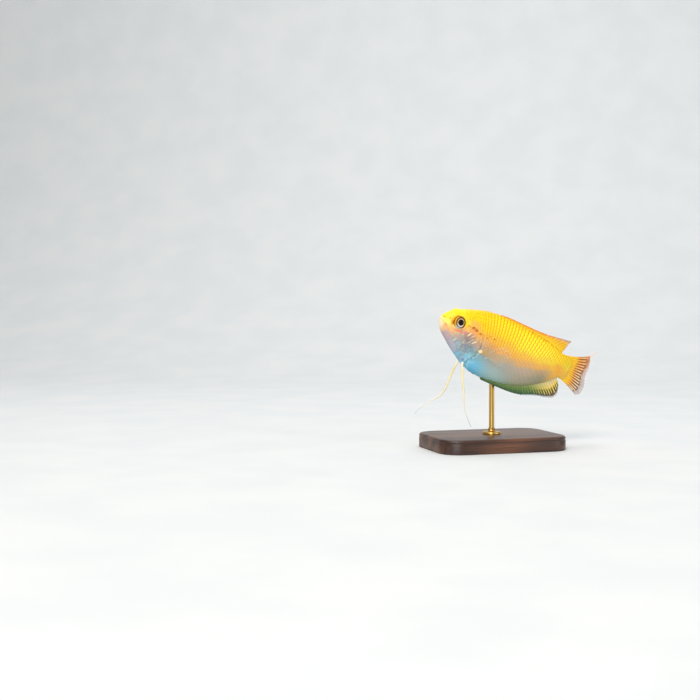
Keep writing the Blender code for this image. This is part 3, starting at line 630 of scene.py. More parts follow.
def fin_material(name, front_stops, rear_stops, alpha):
    """Tinted fin skin: colour by distance out along the rays, from the front of the fin to its rear."""
    varnish = {"Coat_Weight": 0.12, "Coat_Roughness": 0.25, "Specular_IOR_Level": 0.3}
    made, tree = new_material(name, 0.4, Alpha=alpha, **varnish)
    share, out, _ = add(tree, "ShaderNodeAttribute", output="Vector", attribute_name="place").parts()
    where = fish_coordinates(tree)
    noise = add(tree, "ShaderNodeTexNoise", {"Vector": where, "Scale": 1.4, "Detail": 3.0})
    out = out + (noise - 0.5) * 0.18
    colour = share.eased(0.1, 0.8).blend(out.ramp(front_stops), out.ramp(rear_stops))
    grain = add(tree, "ShaderNodeTexNoise", {"Vector": where, "Scale": 7.0, "Detail": 2.0})
    return finish(made, colour, grain, 0.2, 0.03)


def feeler_material():
    """Smooth creamy thread, bluish white towards its tip, with faint joints along it."""
    made, tree = new_material("painted_feeler", 0.4, Coat_Weight=0.25, Coat_Roughness=0.25)
    _, out, _ = add(tree, "ShaderNodeAttribute", output="Vector", attribute_name="place").parts()
    stops = (
        (0.0, "#FFFAF0"), (0.05, "#F6EBC8"), (0.14, "#F1DDA0"), (0.4, "#F2E4B8"), (0.75, "#E8E4D2"),
        (1.0, "#C9DAE2"),
    )
    joints = (out * 260.0).maths("SINE")
    colour = (joints.eased(0.6, 1.0) * 0.1).blend(out.ramp(stops), "#C8A868")
    return finish(made, colour, joints, 0.12, 0.02)


def eye_material():
    """Polished glass-like eye: black pupil, pale gold ring with a painted highlight at its bottom, dark iris,
    amber in front and silver below.
    """
    varnish = {"Coat_Weight": 0.1, "Coat_Roughness": 0.1, "Specular_IOR_Level": 0.2}
    made, tree = new_material("glass_eye_painted_behind", 0.45, **varnish)
    out, ahead, up = add(tree, "ShaderNodeAttribute", output="Vector", attribute_name="place").parts()
    turn = up.maths("ARCTAN2", ahead)
    noise = add(tree, "ShaderNodeTexNoise", {"Vector": fish_coordinates(tree), "Scale": 3.0, "Detail": 4.0})
    out = out + (noise - 0.5) * 0.08
    stops = (
        (0.0, "#040303"), (0.5, "#040303"), (0.53, "#D89868"), (0.585, "#F6D8A8"), (0.64, "#E0AC70"),
        (0.69, "#7A5024"), (0.74, "#2E1C0E"), (0.86, "#4A3014"), (0.94, "#5C4220"), (1.0, "#6E4E22"),
    )
    spokes = (turn * 46.0).maths("SINE").eased(0.2, 1.0) * out.eased(0.42, 0.7)
    colour = (spokes * 0.3).blend(out.ramp(stops), "#D8A040")
    # Painted highlight: the bottom of the pale ring is lit near white.
    painted_ring_highlight = up.eased(-0.26, -0.4) * out.eased(0.7, 0.64) * out.eased(0.49, 0.53)
    colour = painted_ring_highlight.blend(colour, "#FFFCF0")
    front = turn.maths("COSINE").eased(-0.3, -0.75) * out.eased(0.84, 0.9)
    colour = (front * 0.85).blend(colour, "#E8A010")
    low = up.eased(-0.5, -0.92) * out.eased(0.76, 0.88)
    return finish(made, (low * 0.8).blend(colour, "#DCE4E6"))


def cornea_material():
    """Clear varnished dome over the pupil, which gives the eye its highlight."""
    glass = {"Alpha": 0.08, "IOR": 1.38, "Base_Color": linear("#0A0A0A")}
    made, tree = new_material("clear_cornea", 0.02, **glass)
    noise = add(tree, "ShaderNodeTexNoise", {"Vector": fish_coordinates(tree), "Scale": 5.0})
    return finish(made, None, noise, 0.02, 0.01)


def fleshy_material():
    """Cream flesh at the root of a breast fin, satin and a little mottled."""
    made, tree = new_material("painted_fin_root", 0.4, Coat_Weight=0.3, Coat_Roughness=0.2)
    noise = add(tree, "ShaderNodeTexNoise", {"Vector": fish_coordinates(tree), "Scale": 1.6, "Detail": 3.0})
    return finish(made, noise.ramp(((0.3, "#E2B98A"), (0.55, "#F2DDB0"), (0.8, "#F6E8C8"))))


def stretched_noise(tree, stretch, **settings):
    """Noise in the object's own metres, finer along an axis where stretch is larger."""
    where = add(tree, "ShaderNodeTexCoord", output="Object")
    laid = add(tree, "ShaderNodeMapping", {"Vector": where, "Scale": stretch})
    return add(tree, "ShaderNodeTexNoise", {"Vector": laid, **settings})


def wood_material(colours):
    """Oiled walnut: long dark grain along the base, fine pores and a soft satin sheen."""
    made, tree = new_material("oiled_walnut", 0.42, Coat_Weight=0.15, Coat_Roughness=0.3)
    bend = stretched_noise(tree, (16, 110, 110), Scale=0.5, Detail=1.5, Distortion=0.3)
    fibres = stretched_noise(tree, (40, 900, 900), Scale=1.0, Detail=4.0)
    pores = stretched_noise(tree, (120, 3200, 3200), Scale=1.0, Detail=2.0)
    mix = (bend * 46.0).maths("SINE") * 0.16 + 0.16 + fibres * 0.7
    colour = mix.eased(0.2, 0.95).blend((*colours.wood_dark, 1.0), (*colours.wood_light, 1.0))
    dark = pores.eased(0.56, 0.72) * 0.6
    return finish(made, dark.blend(colour, "#1C0E08"), mix - dark, 0.3, 0.05)


def brass_material(colours):
    """Turned brass, lightly brushed round the rod, with a warm dull lacquer."""
    made, tree = new_material("brushed_brass", 0.28, Metallic=1.0)
    lines = stretched_noise(tree, (300, 300, 9000), Scale=1.0, Detail=2.0)
    tone = add(tree, "ShaderNodeMapRange", {"Value": lines, "To Min": -0.2, "To Max": 0.3})
    brass = {"Color": (*colours.brass, 1.0), "Value": tone + 1.0}
    rough = add(tree, "ShaderNodeMapRange", {"Value": lines, "To Min": 0.22, "To Max": 0.4})
    tree.links.new(rough.socket, tree.nodes["Principled BSDF"].inputs["Roughness"])
    return finish(made, add(tree, "ShaderNodeHueSaturation", brass), lines, 0.12, 0.03)


# Shapes of the skin


def line_distance(x, z, line, samples=60):
    """Distance to a line and the signed side of it, in the fish's side view."""
    path = smooth_path(line)(np.linspace(0, 1, samples))
    best = np.full(np.shape(x), 1e9)
    side = np.zeros(np.shape(x))
    for (x0, z0), (x1, z1) in zip(path, path[1:]):
        dx, dz = x1 - x0, z1 - z0
        t = np.clip(((x - x0) * dx + (z - z0) * dz) / (dx * dx + dz * dz), 0, 1)
        away = np.hypot(x - x0 - t * dx, z - z0 - t * dz)
        nearer = away < best
        best = np.where(nearer, away, best)
        side = np.where(nearer, np.sign(dx * (z - z0) - dz * (x - x0)), side)
    return best, side


def relief_at(points, sizes):
    """How far the skin stands out of the plain body, in millimetres, at points of the head and trunk."""
    x, y, z = points[..., 0], points[..., 1], points[..., 2]
    lift = np.zeros(x.shape)
    eye = np.hypot(x - EYE_CENTRE[0] + 0.05, z - EYE_CENTRE[2])
    beside = np.abs(y) > 1.0
    lift += beside * (0.13 * bump(eye, 1.98, 0.2) - 0.05 * bump(eye, 2.45, 0.22))
    lift -= beside * 1.15 * (1 - ease(1.56, 1.78, eye))
    mouth, side = line_distance(x, z, MOUTH_LINE)
    near_mouth = ease(2.0, 1.3, x)
    lift += near_mouth * (sizes.lip_fullness * bump(mouth, 0.26, 0.2) - 0.22 * bump(mouth, 0, 0.07))
    for px, pz, radius in NOSTRILS:
        pit = np.hypot(x - px, z - pz)
        lift += -0.22 * bump(pit, 0, radius * 0.8) + 0.06 * bump(pit, radius * 1.35, 0.09)
    # The gill cover's free edge, with a groove behind it, and the softer edge in front of it
    past = x - gill_edge(z)
    fade = ease(2.3, 0.6, z) * ease(-10.5, -8.2, z)
    raised, groove = sizes.gill_lift * np.exp(past / 1.3), -0.2 * np.exp(-((past / 0.38) ** 2))
    lift += fade * np.where(past < 0, raised, groove)
    cheek = smooth(((-8.0, 8.6), (-6.0, 7.6), (-4.0, 7.9), (-1.5, 8.6), (0.5, 8.7)))
    before = x - cheek(z)
    cheek_fade = ease(0.8, -0.6, z) * ease(-8.0, -6.5, z)
    raised, groove = 0.06 * np.exp(before / 0.8), -0.07 * np.exp(-((before / 0.25) ** 2))
    lift += cheek_fade * np.where(before < 0, raised, groove)
    # Plates under the gill cover's skin spread out from its upper front corner
    spoke = np.arctan2(-(z - 0.8), x - 7.2)
    plate = ease(7.2, 9.0, x) * (past < 0) * ease(2.0, 0.0, z)
    lift += 0.012 * plate * np.sin(spoke * 26)
    # Jaw bone behind the corner of the mouth
    jaw, _ = line_distance(x, z, ((1.45, -0.35), (1.95, -1.0), (2.4, -1.6), (2.6, -2.1)))
    lift += 0.05 * bump(jaw, 0.3, 0.25) - 0.1 * bump(jaw, 0, 0.12)
    return lift


def wedge_shape(points):
    """How far the end of the scaly wedge reaches back at a height, for its round edge."""
    return 0.9 * ease(LENGTH - 1, WEDGE_END, points[..., 0]) * (1 - ((points[..., 2] + 0.25) / 3.7) ** 2)


def build_skin(sizes):
    """The whole body's skin as one closed surface, from the lips to the end of the tail stalk."""
    fore = NOSE_TIP + 0.012 + (HEAD_END - NOSE_TIP) * np.linspace(0, 1, sizes.head_rings) ** 1.25
    rear = np.linspace(HEAD_END, WEDGE_END, sizes.body_rings + 1)[1:]
    places = np.r_[fore, rear]
    angles = np.linspace(0, 2 * math.pi, sizes.sides, endpoint=False) + math.pi / sizes.sides
    x, a = np.meshgrid(places, angles, indexing="ij")
    flat = skin_at(x, a)
    normal = skin_normal(x, a)
    lift = relief_at(flat, sizes) - sizes.skin_depth
    points = flat + normal * lift[..., None]
    # The wedge ends in a round edge, longest in the middle of the tail
    points[..., 0] += wedge_shape(points)
    mesh = new_mesh("fish_skin", to_world(points.reshape(-1, 3)), tube_faces(*x.shape))
    covered = ("head", "lower_jaw", "gill_cover_left", "gill_cover_right", "trunk", "tail_stalk")
    settle("fish_skin", mesh, skin_material(), "fish_skin", *covered)


# Scales


def scale_plate():
    """One scale, a thin closed plate one unit long and wide, rounded behind and dished a little."""
    across, stations = 8, (0.0, 0.35, 0.6, 0.78, 0.9, 1.0)
    points, blade = [], []
    for under in (0, 1):
        for v in stations:
            for j in range(across + 1):
                u = -1 + 2 * j / across
                x = -0.45 + v - 0.24 * v * v * abs(u) ** 2.4
                half = 0.5 * (0.82 + 0.18 * min(1.0, v / 0.3))
                height = -0.055 + 0.1 * v + 0.045 * (1 - u * u)
                points.append((x, u * half, height - under * 0.04 * (1 - 0.4 * v)))
                blade.append((u, v, 0.0))
    mesh = new_mesh("plate", points, sheet_faces(len(stations), across + 1), blade=blade)
    outward(mesh)
    return new_object("plate", mesh)


def new_tree(name, **inputs):
    """A Geometry Nodes tree with named inputs, as (tree, its geometry, the value of each input)."""
    tree = bpy.data.node_groups.new(name, "GeometryNodeTree")
    for label, kind in {"Geometry": "Geometry", **inputs}.items():
        tree.interface.new_socket(label, in_out="INPUT", socket_type="NodeSocket" + kind)
    tree.interface.new_socket("Geometry", in_out="OUTPUT", socket_type="NodeSocketGeometry")
    given = add(tree, "NodeGroupInput").node
    return tree, *(Value(tree, given, label) for label in ("Geometry", *inputs))


def end_tree(tree, geometry, material):
    """Ends a tree in real geometry of one material."""
    real = add(tree, "GeometryNodeRealizeInstances", {"Geometry": geometry})
    dressed = add(tree, "GeometryNodeSetMaterial", {"Geometry": real, "Material": material})
    add(tree, "NodeGroupOutput", {0: dressed})
    return tree


def scale_tree(material):
    """Geometry nodes that lay a scale on every root of a flat coat, sized as the root says."""
    kinds = {"Plate": "Object", "Size": "Float", "Unevenness": "Float", "Seed": "Int"}
    tree, roots, plate, size, unevenness, seed = new_tree("scale_coat", **kinds)
    shape = add(tree, "GeometryNodeObjectInfo", {"Object": plate}, "Geometry")
    own_size = add(tree, "GeometryNodeInputNamedAttribute", {"Name": "size"}, data_type="FLOAT_VECTOR")
    chance = add(tree, "FunctionNodeRandomValue", {"Seed": seed}, 1, data_type="FLOAT")
    spread = add(tree, "ShaderNodeMath", {0: chance, 1: unevenness, 2: 1.0}, operation="MULTIPLY_ADD")
    scaled = add(tree, "ShaderNodeVectorMath", {0: own_size, "Scale": spread * size}, operation="SCALE")
    inputs = {"Points": roots, "Instance": shape, "Scale": scaled}
    return end_tree(tree, add(tree, "GeometryNodeInstanceOnPoints", inputs), material)


def run_tree(target, tree, **values):
    """Runs a node tree on an object, sets its inputs by identifier and keeps the result as a plain mesh."""
    step = target.modifiers.new(tree.name, "NODES")
    step.node_group = tree
    for item in tree.interface.items_tree:
        if item.in_out == "INPUT" and item.name in values:
            step[item.identifier] = values[item.name]
    bpy.context.view_layer.update()
    depsgraph = bpy.context.evaluated_depsgraph_get()
    result = bpy.data.meshes.new_from_object(target.evaluated_get(depsgraph))
    target.modifiers.clear()
    return result


def wrap_table():
    """For rings along the body, the skin's length from its middle line to angles past back and belly."""
    places = np.linspace(3.5, WEDGE_END + 1.2, 420)
    angles = np.linspace(math.pi / 2 + 1.0, -math.pi / 2 - 1.0, 320)
    points = skin_at(*np.meshgrid(places, angles, indexing="ij"))
    lengths = np.cumsum(np.linalg.norm(np.diff(points, axis=1), axis=2), axis=1)
    lengths = np.c_[np.zeros(len(places)), lengths]
    shown = np.abs(angles) <= math.pi / 2
    middle = 0.55 * back_height(places) + 0.45 * belly_height(places)
    for i, height in enumerate(middle):
        lengths[i] -= np.interp(-height, -points[i, shown, 2], lengths[i, shown])
    return places, angles, lengths


WRAP_PLACES, WRAP_ANGLES, WRAP_LENGTHS = wrap_table()


def wrapped_angle(x, down):
    """Angles on the right side of the body, a length down the skin from its middle line at x."""
    place = np.clip((x - WRAP_PLACES[0]) / (WRAP_PLACES[1] - WRAP_PLACES[0]), 0, len(WRAP_PLACES) - 1.001)
    row = place.astype(int)
    angle = np.zeros(len(x))
    for i in np.unique(row):
        here = row == i
        low, high = (np.interp(down[here], WRAP_LENGTHS[j], WRAP_ANGLES) for j in (i, i + 1))
        angle[here] = low + (high - low) * (place - row)[here]
    return angle


# How far a column of scales leans towards the tail, by place along the fish
COLUMN_LEAN = smooth((
    (5.0, 0.0), (7.0, -0.16), (9.0, -0.28), (11.0, -0.22), (14.0, -0.08), (18.0, 0.1), (22.0, 0.2),
    (26.0, 0.34), (31.0, 0.5), (35.0, 0.56), (38.5, 0.45), (42.5, 0.1),
))


def column_lean(x, down):
    """How far a column of scales leans along the body there: more and more towards the tail."""
    return -down * COLUMN_LEAN(x)


# Where the coat starts on the head, and how large its scales are at places along the fish
FIRST_SCALE = 4.6
SCALE_GROWTH = ((4.5, 9.0, 14.0, 20.0, 31.0, 41.0), (0.56, 0.62, 0.76, 0.94, 1.0, 0.8))


def scale_roots(sizes):
    """The scales of a flat coat: (x, length down the skin, length, width) of each, in millimetres."""
    flipped, middles = WRAP_ANGLES[::-1], (math.pi / 2, -math.pi / 2)
    ends = [[float(np.interp(a, flipped, row[::-1])) for row in WRAP_LENGTHS] for a in middles]
    roots = []
    pitch = sizes.scale_spacing / MM
    x, column = WEDGE_END - 0.3, 0
    while x > FIRST_SCALE:
        small = float(np.interp(x, *SCALE_GROWTH))
        step, rise = pitch * small, pitch * small * sizes.scale_tallness
        for row in range(-18, 20):
            down = (row + 0.5 * (column % 2)) * rise
            top, bottom = (float(np.interp(x + column_lean(x, down), WRAP_PLACES, end)) for end in ends)
            if top + 0.1 * rise < down < bottom - 0.1 * rise:
                roots.append((x, down, 2.0 * step, 1.3 * rise))
        x -= step
        column += 1
    return np.array(roots)


def keeps_scale(x, z):
    """Whether a scale grows there: not on the snout, the chin, round the eye or on the gill cover's edge."""
    eye = np.hypot(x - EYE_CENTRE[0], z - EYE_CENTRE[2]) > 2.75
    snout = x > 5.6 + 0.25 * np.maximum(0, 3.5 - z)
    throat = (x > 11.2) | (z > -5.8)
    edge = np.abs(x - gill_edge(z) - 0.1) > 0.28
    return eye & snout & throat & (edge | (z > 1.9))


def build_scales(sizes, side, name, material, tree, plate):
    """One side's coat of scales, laid out flat, each over the next behind it, then wrapped round the body."""
    roots = scale_roots(sizes)
    place = roots[:, 0] + column_lean(roots[:, 0], roots[:, 1])
    angle = wrapped_angle(place, roots[:, 1])
    keep = keeps_scale(place, skin_at(place, angle)[:, 2])
    x, down, length, width = roots[keep].T
    place = place[keep] / (WEDGE_END + 2)
    turn = (angle[keep] if side > 0 else math.pi - angle[keep]) / (2 * math.pi) % 1
    mesh = new_mesh(
        name, np.c_[x, down, 0 * x], [], size=np.c_[length, width, length],
        root_uv=np.c_[0.02 + 0.95 * place, 0.02 + 0.95 * turn, 0 * x],
    )
    flat = new_object(name + "_roots", mesh)
    coat = run_tree(flat, tree, Plate=plate, Size=1.0, Unevenness=sizes.scale_unevenness, Seed=SEED)
    bpy.data.objects.remove(flat)
    coat.name = name
    x, down, height = read_vectors(coat.vertices, "co").T
    x = x + column_lean(x, down)
    angle = wrapped_angle(x, down)
    angle = angle if side > 0 else math.pi - angle
    skin = skin_at(x, angle)
    lift = relief_at(skin, sizes) - sizes.skin_depth + sizes.scale_lift / MM + height
    points = skin + skin_normal(x, angle) * lift[:, None]
    points[:, 0] += wedge_shape(skin)
    coat.vertices.foreach_set("co", to_world(points).ravel())
    write_bake_map(coat)
    coat.shade_smooth()
    settle(name, coat, material, "fish_skin")


def write_bake_map(mesh):
    """A map named OFBake where each scale is a small patch at its root's place on the skin's unwrap."""
    roots, blade = (read_vectors(mesh.attributes[key].data, "vector") for key in ("root_uv", "blade"))
    patch = 0.003
    place = roots[:, :2] + patch * np.c_[blade[:, 1] - 0.5, blade[:, 0] * 0.5]
    corners = np.zeros(len(mesh.loops), int)
    mesh.loops.foreach_get("vertex_index", corners)
    layer = mesh.uv_layers.new(name="OFBake")
    layer.data.foreach_set("uv", place[corners].ravel())


# Fins


def ray_tree(material):
    """Geometry nodes that sweep a small round section along every ray, as thick as the ray says."""
    tree, paths, sides = new_tree("fin_rays", Sides="Int")
    ring = add(tree, "GeometryNodeCurvePrimitiveCircle", {"Resolution": sides, "Radius": 1.0})
    rods = {"Curve": paths, "Profile Curve": ring, "Fill Caps": True}
    sweep = add(tree, "GeometryNodeCurveToMesh", rods)
    if "Scale" in sweep.node.inputs:
        tree.links.new(add(tree, "GeometryNodeInputRadius").socket, sweep.node.inputs["Scale"])
    return end_tree(tree, add(tree, "GeometryNodeSetShadeSmooth", {0: sweep}), material)


def swept(name, strands, material, sides, places):
    """Strands, each (points in the fish's frame, radii in millimetres), as one mesh of round rods.

    Every point of a strand has a place, a vector by which the rod is coloured there.
    """
    curve = bpy.data.curves.new(name, "CURVE")
    curve.dimensions = "3D"
    for points, radii in strands:
        spline = curve.splines.new("POLY")
        spline.points.add(len(points) - 1)
        placed = to_world(points)
        spline.points.foreach_set("co", np.c_[placed, np.ones(len(placed))].ravel())
        spline.points.foreach_set("radius", np.asarray(radii, float) * MM)
    paths = new_object(name + "_paths", curve)
    mesh = run_tree(paths, ray_tree(material), Sides=sides)
    bpy.data.objects.remove(paths)
    mesh.name = name
    values = np.concatenate([np.repeat(place, sides, axis=0) for place in places])
    if len(values) != len(mesh.vertices):
        raise RuntimeError(f"{name}: {len(values)} places for {len(mesh.vertices)} points")
    mark_points(mesh, "place", values)
    return mesh


def upright(x, z):
    """Points of the fish's middle plane."""
    return np.stack([x, 0 * x, z], -1)


def plain_edge(points):
    """A line through points of the fish's middle plane, by the share along it."""
    path = smooth_path(points)
    return lambda share: upright(*np.moveaxis(path(share), -1, 0))


def body_line(start, end, height, sink):
    """A fin's root line along the back or belly, sunk into the body."""

    def at(share):
        x = start + (end - start) * share
        return upright(x, height(x) + sink)

    return at


class Fin:
    """A fin between its root line and its outer edge, with its rays spread evenly."""

    def __init__(
        self, base, edge, rays, spiny=False, bow=0.0, face=(0, 1, 0), notch=0.03, jointed=0.06, slim=0.0,
        corner=0.0,
    ):
        self.base, self.edge, self.rays, self.spiny = base, edge, rays, spiny
        self.bow, self.face, self.notch = bow, np.array(face, float), notch
        self.jointed, self.slim, self.corner = jointed, slim, corner

    def at(self, share, out, side=0.0):
        """Point of the fin at a share along it, a share out to its edge and a distance off its middle."""
        share, out = np.broadcast_arrays(np.asarray(share, float), np.asarray(out, float))
        low, high = self.base(share), self.edge(share)
        place = low + (high - low) * out[..., None]
        place[..., 2] -= 4 * out * (1 - out) * self.bow * (1 - 2 * share)
        return place + self.face * np.asarray(side)[..., None]

    def reach_out(self, out, share):
        """A distance out that nears the edge towards the fin's first corner, where its clear margin ends."""
        return out + (1 - out) * self.corner * ease(0.55, 0.0, share) if out else 0 * share

    def knots(self, outs):
        """A soft ray's thickness along it: slimmer near its root, with joints as small swellings."""
        return (1 - self.slim * ease(0.5, 0.15, outs)) * (1 + self.jointed * np.sin(outs * 60))

    def membrane(self, name, thick, rows=22, low=0.0, high=1.0, per_ray=6):
        """The fin's skin between two lines along it, as a closed sheet that draws in between the rays."""
        shares = np.linspace(0, 1, self.rays * per_ray + 1)
        s, v = np.meshgrid(shares, np.linspace(0, 1, rows + 1), indexing="ij")
        v = self.reach_out(low, s) * (1 - v) + self.reach_out(high, s) * v
        between = np.abs(np.cos(math.pi * (s * self.rays)))
        limit = 1 - self.notch * between ** 1.5
        ripple = 0.02 * np.sin(2 * math.pi * s * self.rays * 0.5) * v
        half = thick * (1 - 0.6 * v)
        sheets = [self.at(s, v * limit, ripple + sign * half) for sign in (-1, 1)]
        place = np.stack([s, v, 0 * s], -1).reshape(-1, 3)
        points = np.concatenate([to_world(sheet.reshape(-1, 3)) for sheet in sheets])
        return new_mesh(name, points, sheet_faces(*s.shape), place=np.concatenate([place, place]))

    def strands(self, thick, reach=0.965, steps=26):
        """Every ray, with its branches, as (points, radii) and its places on the fin."""
        strands, places = [], []

        def lay(shares, outs, radii):
            strands.append((self.at(shares, outs * self.reach_out(reach, shares) / reach), radii))
            places.append(np.stack([shares, outs, 1 + 0 * outs], -1))

        for i in range(self.rays):
            middle = (i + 0.5) / self.rays
            if self.spiny:
                outs = np.linspace(0, reach, steps)
                lay(np.full(steps, middle), outs, thick * (1 - 0.8 * outs / reach))
                continue
            # A soft ray is one rod that forks twice, with a joint at every short step
            outs = np.linspace(0, 0.5, steps)
            lay(np.full(steps, middle), outs, thick * (1 - 0.35 * outs) * self.knots(outs))
            for sign in (-1, 1):
                outs = np.linspace(0.42, 0.76, steps // 2 + 4)
                fork = middle + sign * 0.13 / self.rays * ease(0.42, 0.76, outs)
                lay(fork, outs, thick * (0.86 - 0.35 * outs) * self.knots(outs))
                for twig in (-1, 1):
                    outs = np.linspace(0.7, reach, steps // 2 + 4)
                    fine = middle + (sign * 0.13 + twig * 0.1 * ease(0.7, 1.0, outs)) / self.rays
                    lay(fine, outs, thick * (0.56 - 0.46 * ease(0.7, 0.9, outs)) * self.knots(outs))
        return strands, places


def dress_fin(fin, name, skin_paint, ray_paint, thick, rod, rows=22, clear=None, margin=1.0, reach=0.965):
    """Makes a fin's membrane, its clearer margin and its rays, and lets them stand for the fin's solid."""
    sheet = fin.membrane(name + "_membrane", thick, rows, 0.0, margin)
    settle(name + "_membrane", sheet, skin_paint, "fin", name)
    if clear:
        settle(name + "_margin", fin.membrane(name + "_margin", thick, 8, margin, 1.0), clear, "fin")
    strands, places = fin.strands(rod, reach)
    settle(name + "_rays", swept(name + "_rays", strands, ray_paint, RAY_SIDES, places), ray_paint, "fin")


def build_median_fins(sizes):
    """The dorsal and anal fins, each in its spiny and its soft part."""
    amber = ((0.0, "#FFE018"), (0.35, "#FCC818"), (0.7, "#F0A014"), (1.0, "#E68814"))
    amber_rear = (
        (0.0, "#FFD81C"), (0.3, "#F2B80C"), (0.6, "#EEAC18"), (0.76, "#F4B448"), (0.86, "#BC8448"),
        (1.0, "#A07850"),
    )
    olive = ((0.0, "#8C9C5C"), (0.35, "#5E7C3C"), (0.8, "#3C5C34"), (1.0, "#305444"))
    brown = (
        (0.0, "#C4B084"), (0.2, "#DCC48C"), (0.4, "#ECC870"), (0.54, "#8A6C34"), (0.72, "#4C341C"),
        (0.86, "#6A5440"), (0.92, "#B4A498"), (1.0, "#C0B4AA"),
    )
    ray_amber = ((0.0, "#FFDC20"), (0.5, "#FFCC20"), (0.68, "#FFCC50"), (0.78, "#FFDCA4"), (1.0, "#E8C8A4"))
    ray_olive = ((0.0, "#98A858"), (0.6, "#6C8C48"), (1.0, "#527848"))
    ray_rear = (
        (0.0, "#E4D090"), (0.28, "#FCE470"), (0.45, "#FFF054"), (0.74, "#FFE880"), (0.86, "#E4D0B0"),
        (1.0, "#DCD4CC"),
    )
    amber_rays, olive_rays, rear_rays = (ray_amber, ray_amber), (ray_olive, ray_olive), (ray_olive, ray_rear)
    back, belly = (back_height, -0.35), (belly_height, 0.35)
    # Each part: root and edge, number of rays, where its clear margin starts and narrows, and colours
    parts = (
        ("dorsal_fin_spiny", back, DORSAL_BASE[0], DORSAL_EDGES[0], 17, 1.0, 0.0, amber, amber, amber_rays),
        (
            "dorsal_fin_soft", back, DORSAL_BASE[1], DORSAL_EDGES[1], 8, 0.86, 0.95,
            amber, amber_rear, amber_rays,
        ),
        ("anal_fin_spiny", belly, ANAL_BASE[0], ANAL_EDGES[0], 18, 1.0, 0.0, olive, olive, olive_rays),
        ("anal_fin_soft", belly, ANAL_BASE[1], ANAL_EDGES[1], 16, 0.91, 0.0, olive, brown, rear_rays),
    )
    for name, (height, sink), (start, end), edge, rays, margin, corner, front, rear, ray_stops in parts:
        spiny = margin == 1.0
        line = body_line(start, end, height, sink)
        fin = Fin(line, plain_edge(edge), rays, spiny, notch=0.045 if spiny else 0.018, corner=corner)
        skin_paint = fin_material(name + "_tinted_membrane", front, rear, sizes.membrane_alpha)
        ray_paint = fin_material(name + "_painted_rays", *ray_stops, 1.0)
        clear = None if spiny else fin_material(name + "_clear_margin", front, rear, sizes.margin_alpha)
        rod = 0.13 if spiny else 0.14
        dress_fin(fin, name, skin_paint, ray_paint, 0.08, rod, clear=clear, margin=margin, reach=0.92)


def build_caudal_fin(sizes):
    """The tail fin, its fan of forked rays and the thread at its upper corner."""
    top, bottom = float(back_height(LENGTH)) - 0.1, float(belly_height(LENGTH)) + 0.1
    start = LENGTH - 0.5

    def base(share):
        return upright(start + 0 * share, top + (bottom - top) * share)

    shape = {"bow": CAUDAL_BOW, "notch": 0.012, "jointed": 0.03, "slim": 0.5, "corner": 0.88}
    fin = Fin(base, plain_edge(CAUDAL_EDGE), 14, **shape)
    lower = (
        (0.0, "#FFE010"), (0.36, "#FFCC14"), (0.47, "#F09814"), (0.57, "#944A10"), (0.7, "#4A2810"),
        (0.8, "#7C5C48"), (0.87, "#B89C8C"), (1.0, "#C4B0A4"),
    )
    upper = (
        (0.0, "#FFD818"), (0.45, "#FFC41C"), (0.56, "#DC8A1C"), (0.67, "#A0581C"), (0.83, "#A8602C"),
        (0.92, "#DC8C48"), (1.0, "#ECA878"),
    )
    lower_rays = (
        (0.0, "#FFE014"), (0.36, "#FFCC1C"), (0.5, "#FFBC50"), (0.62, "#FFD498"), (0.8, "#FFDEB8"),
        (0.88, "#E0C4B0"), (1.0, "#DCD0C8"),
    )
    upper_rays = (
        (0.0, "#FFE014"), (0.4, "#FFCC1C"), (0.58, "#FFB84C"), (0.8, "#FFC488"), (0.94, "#F4C4A4"),
        (1.0, "#E4C8B4"),
    )
    skin_paint = fin_material("caudal_tinted_membrane", upper, lower, sizes.membrane_alpha)
    ray_paint = fin_material("caudal_painted_rays", upper_rays, lower_rays, 1.0)
    clear = fin_material("caudal_clear_margin", upper, lower, sizes.margin_alpha)
    margin = {"clear": clear, "margin": 0.84, "reach": 0.93}
    dress_fin(fin, "caudal_fin", skin_paint, ray_paint, 0.1, 0.23, rows=34, **margin)
    steps = np.linspace(0, 1, 30)
    line = plain_edge(CAUDAL_THREAD)(steps)
    places = [np.stack([0 * steps, 0.72 + 0.28 * steps, 0 * steps], -1)]
    radii = 0.05 + 0.13 * ease(0, 0.3, steps) - 0.09 * steps
    settle("caudal_thread", swept("caudal_thread", [(line, radii)], ray_paint, 8, places), ray_paint, "fin")


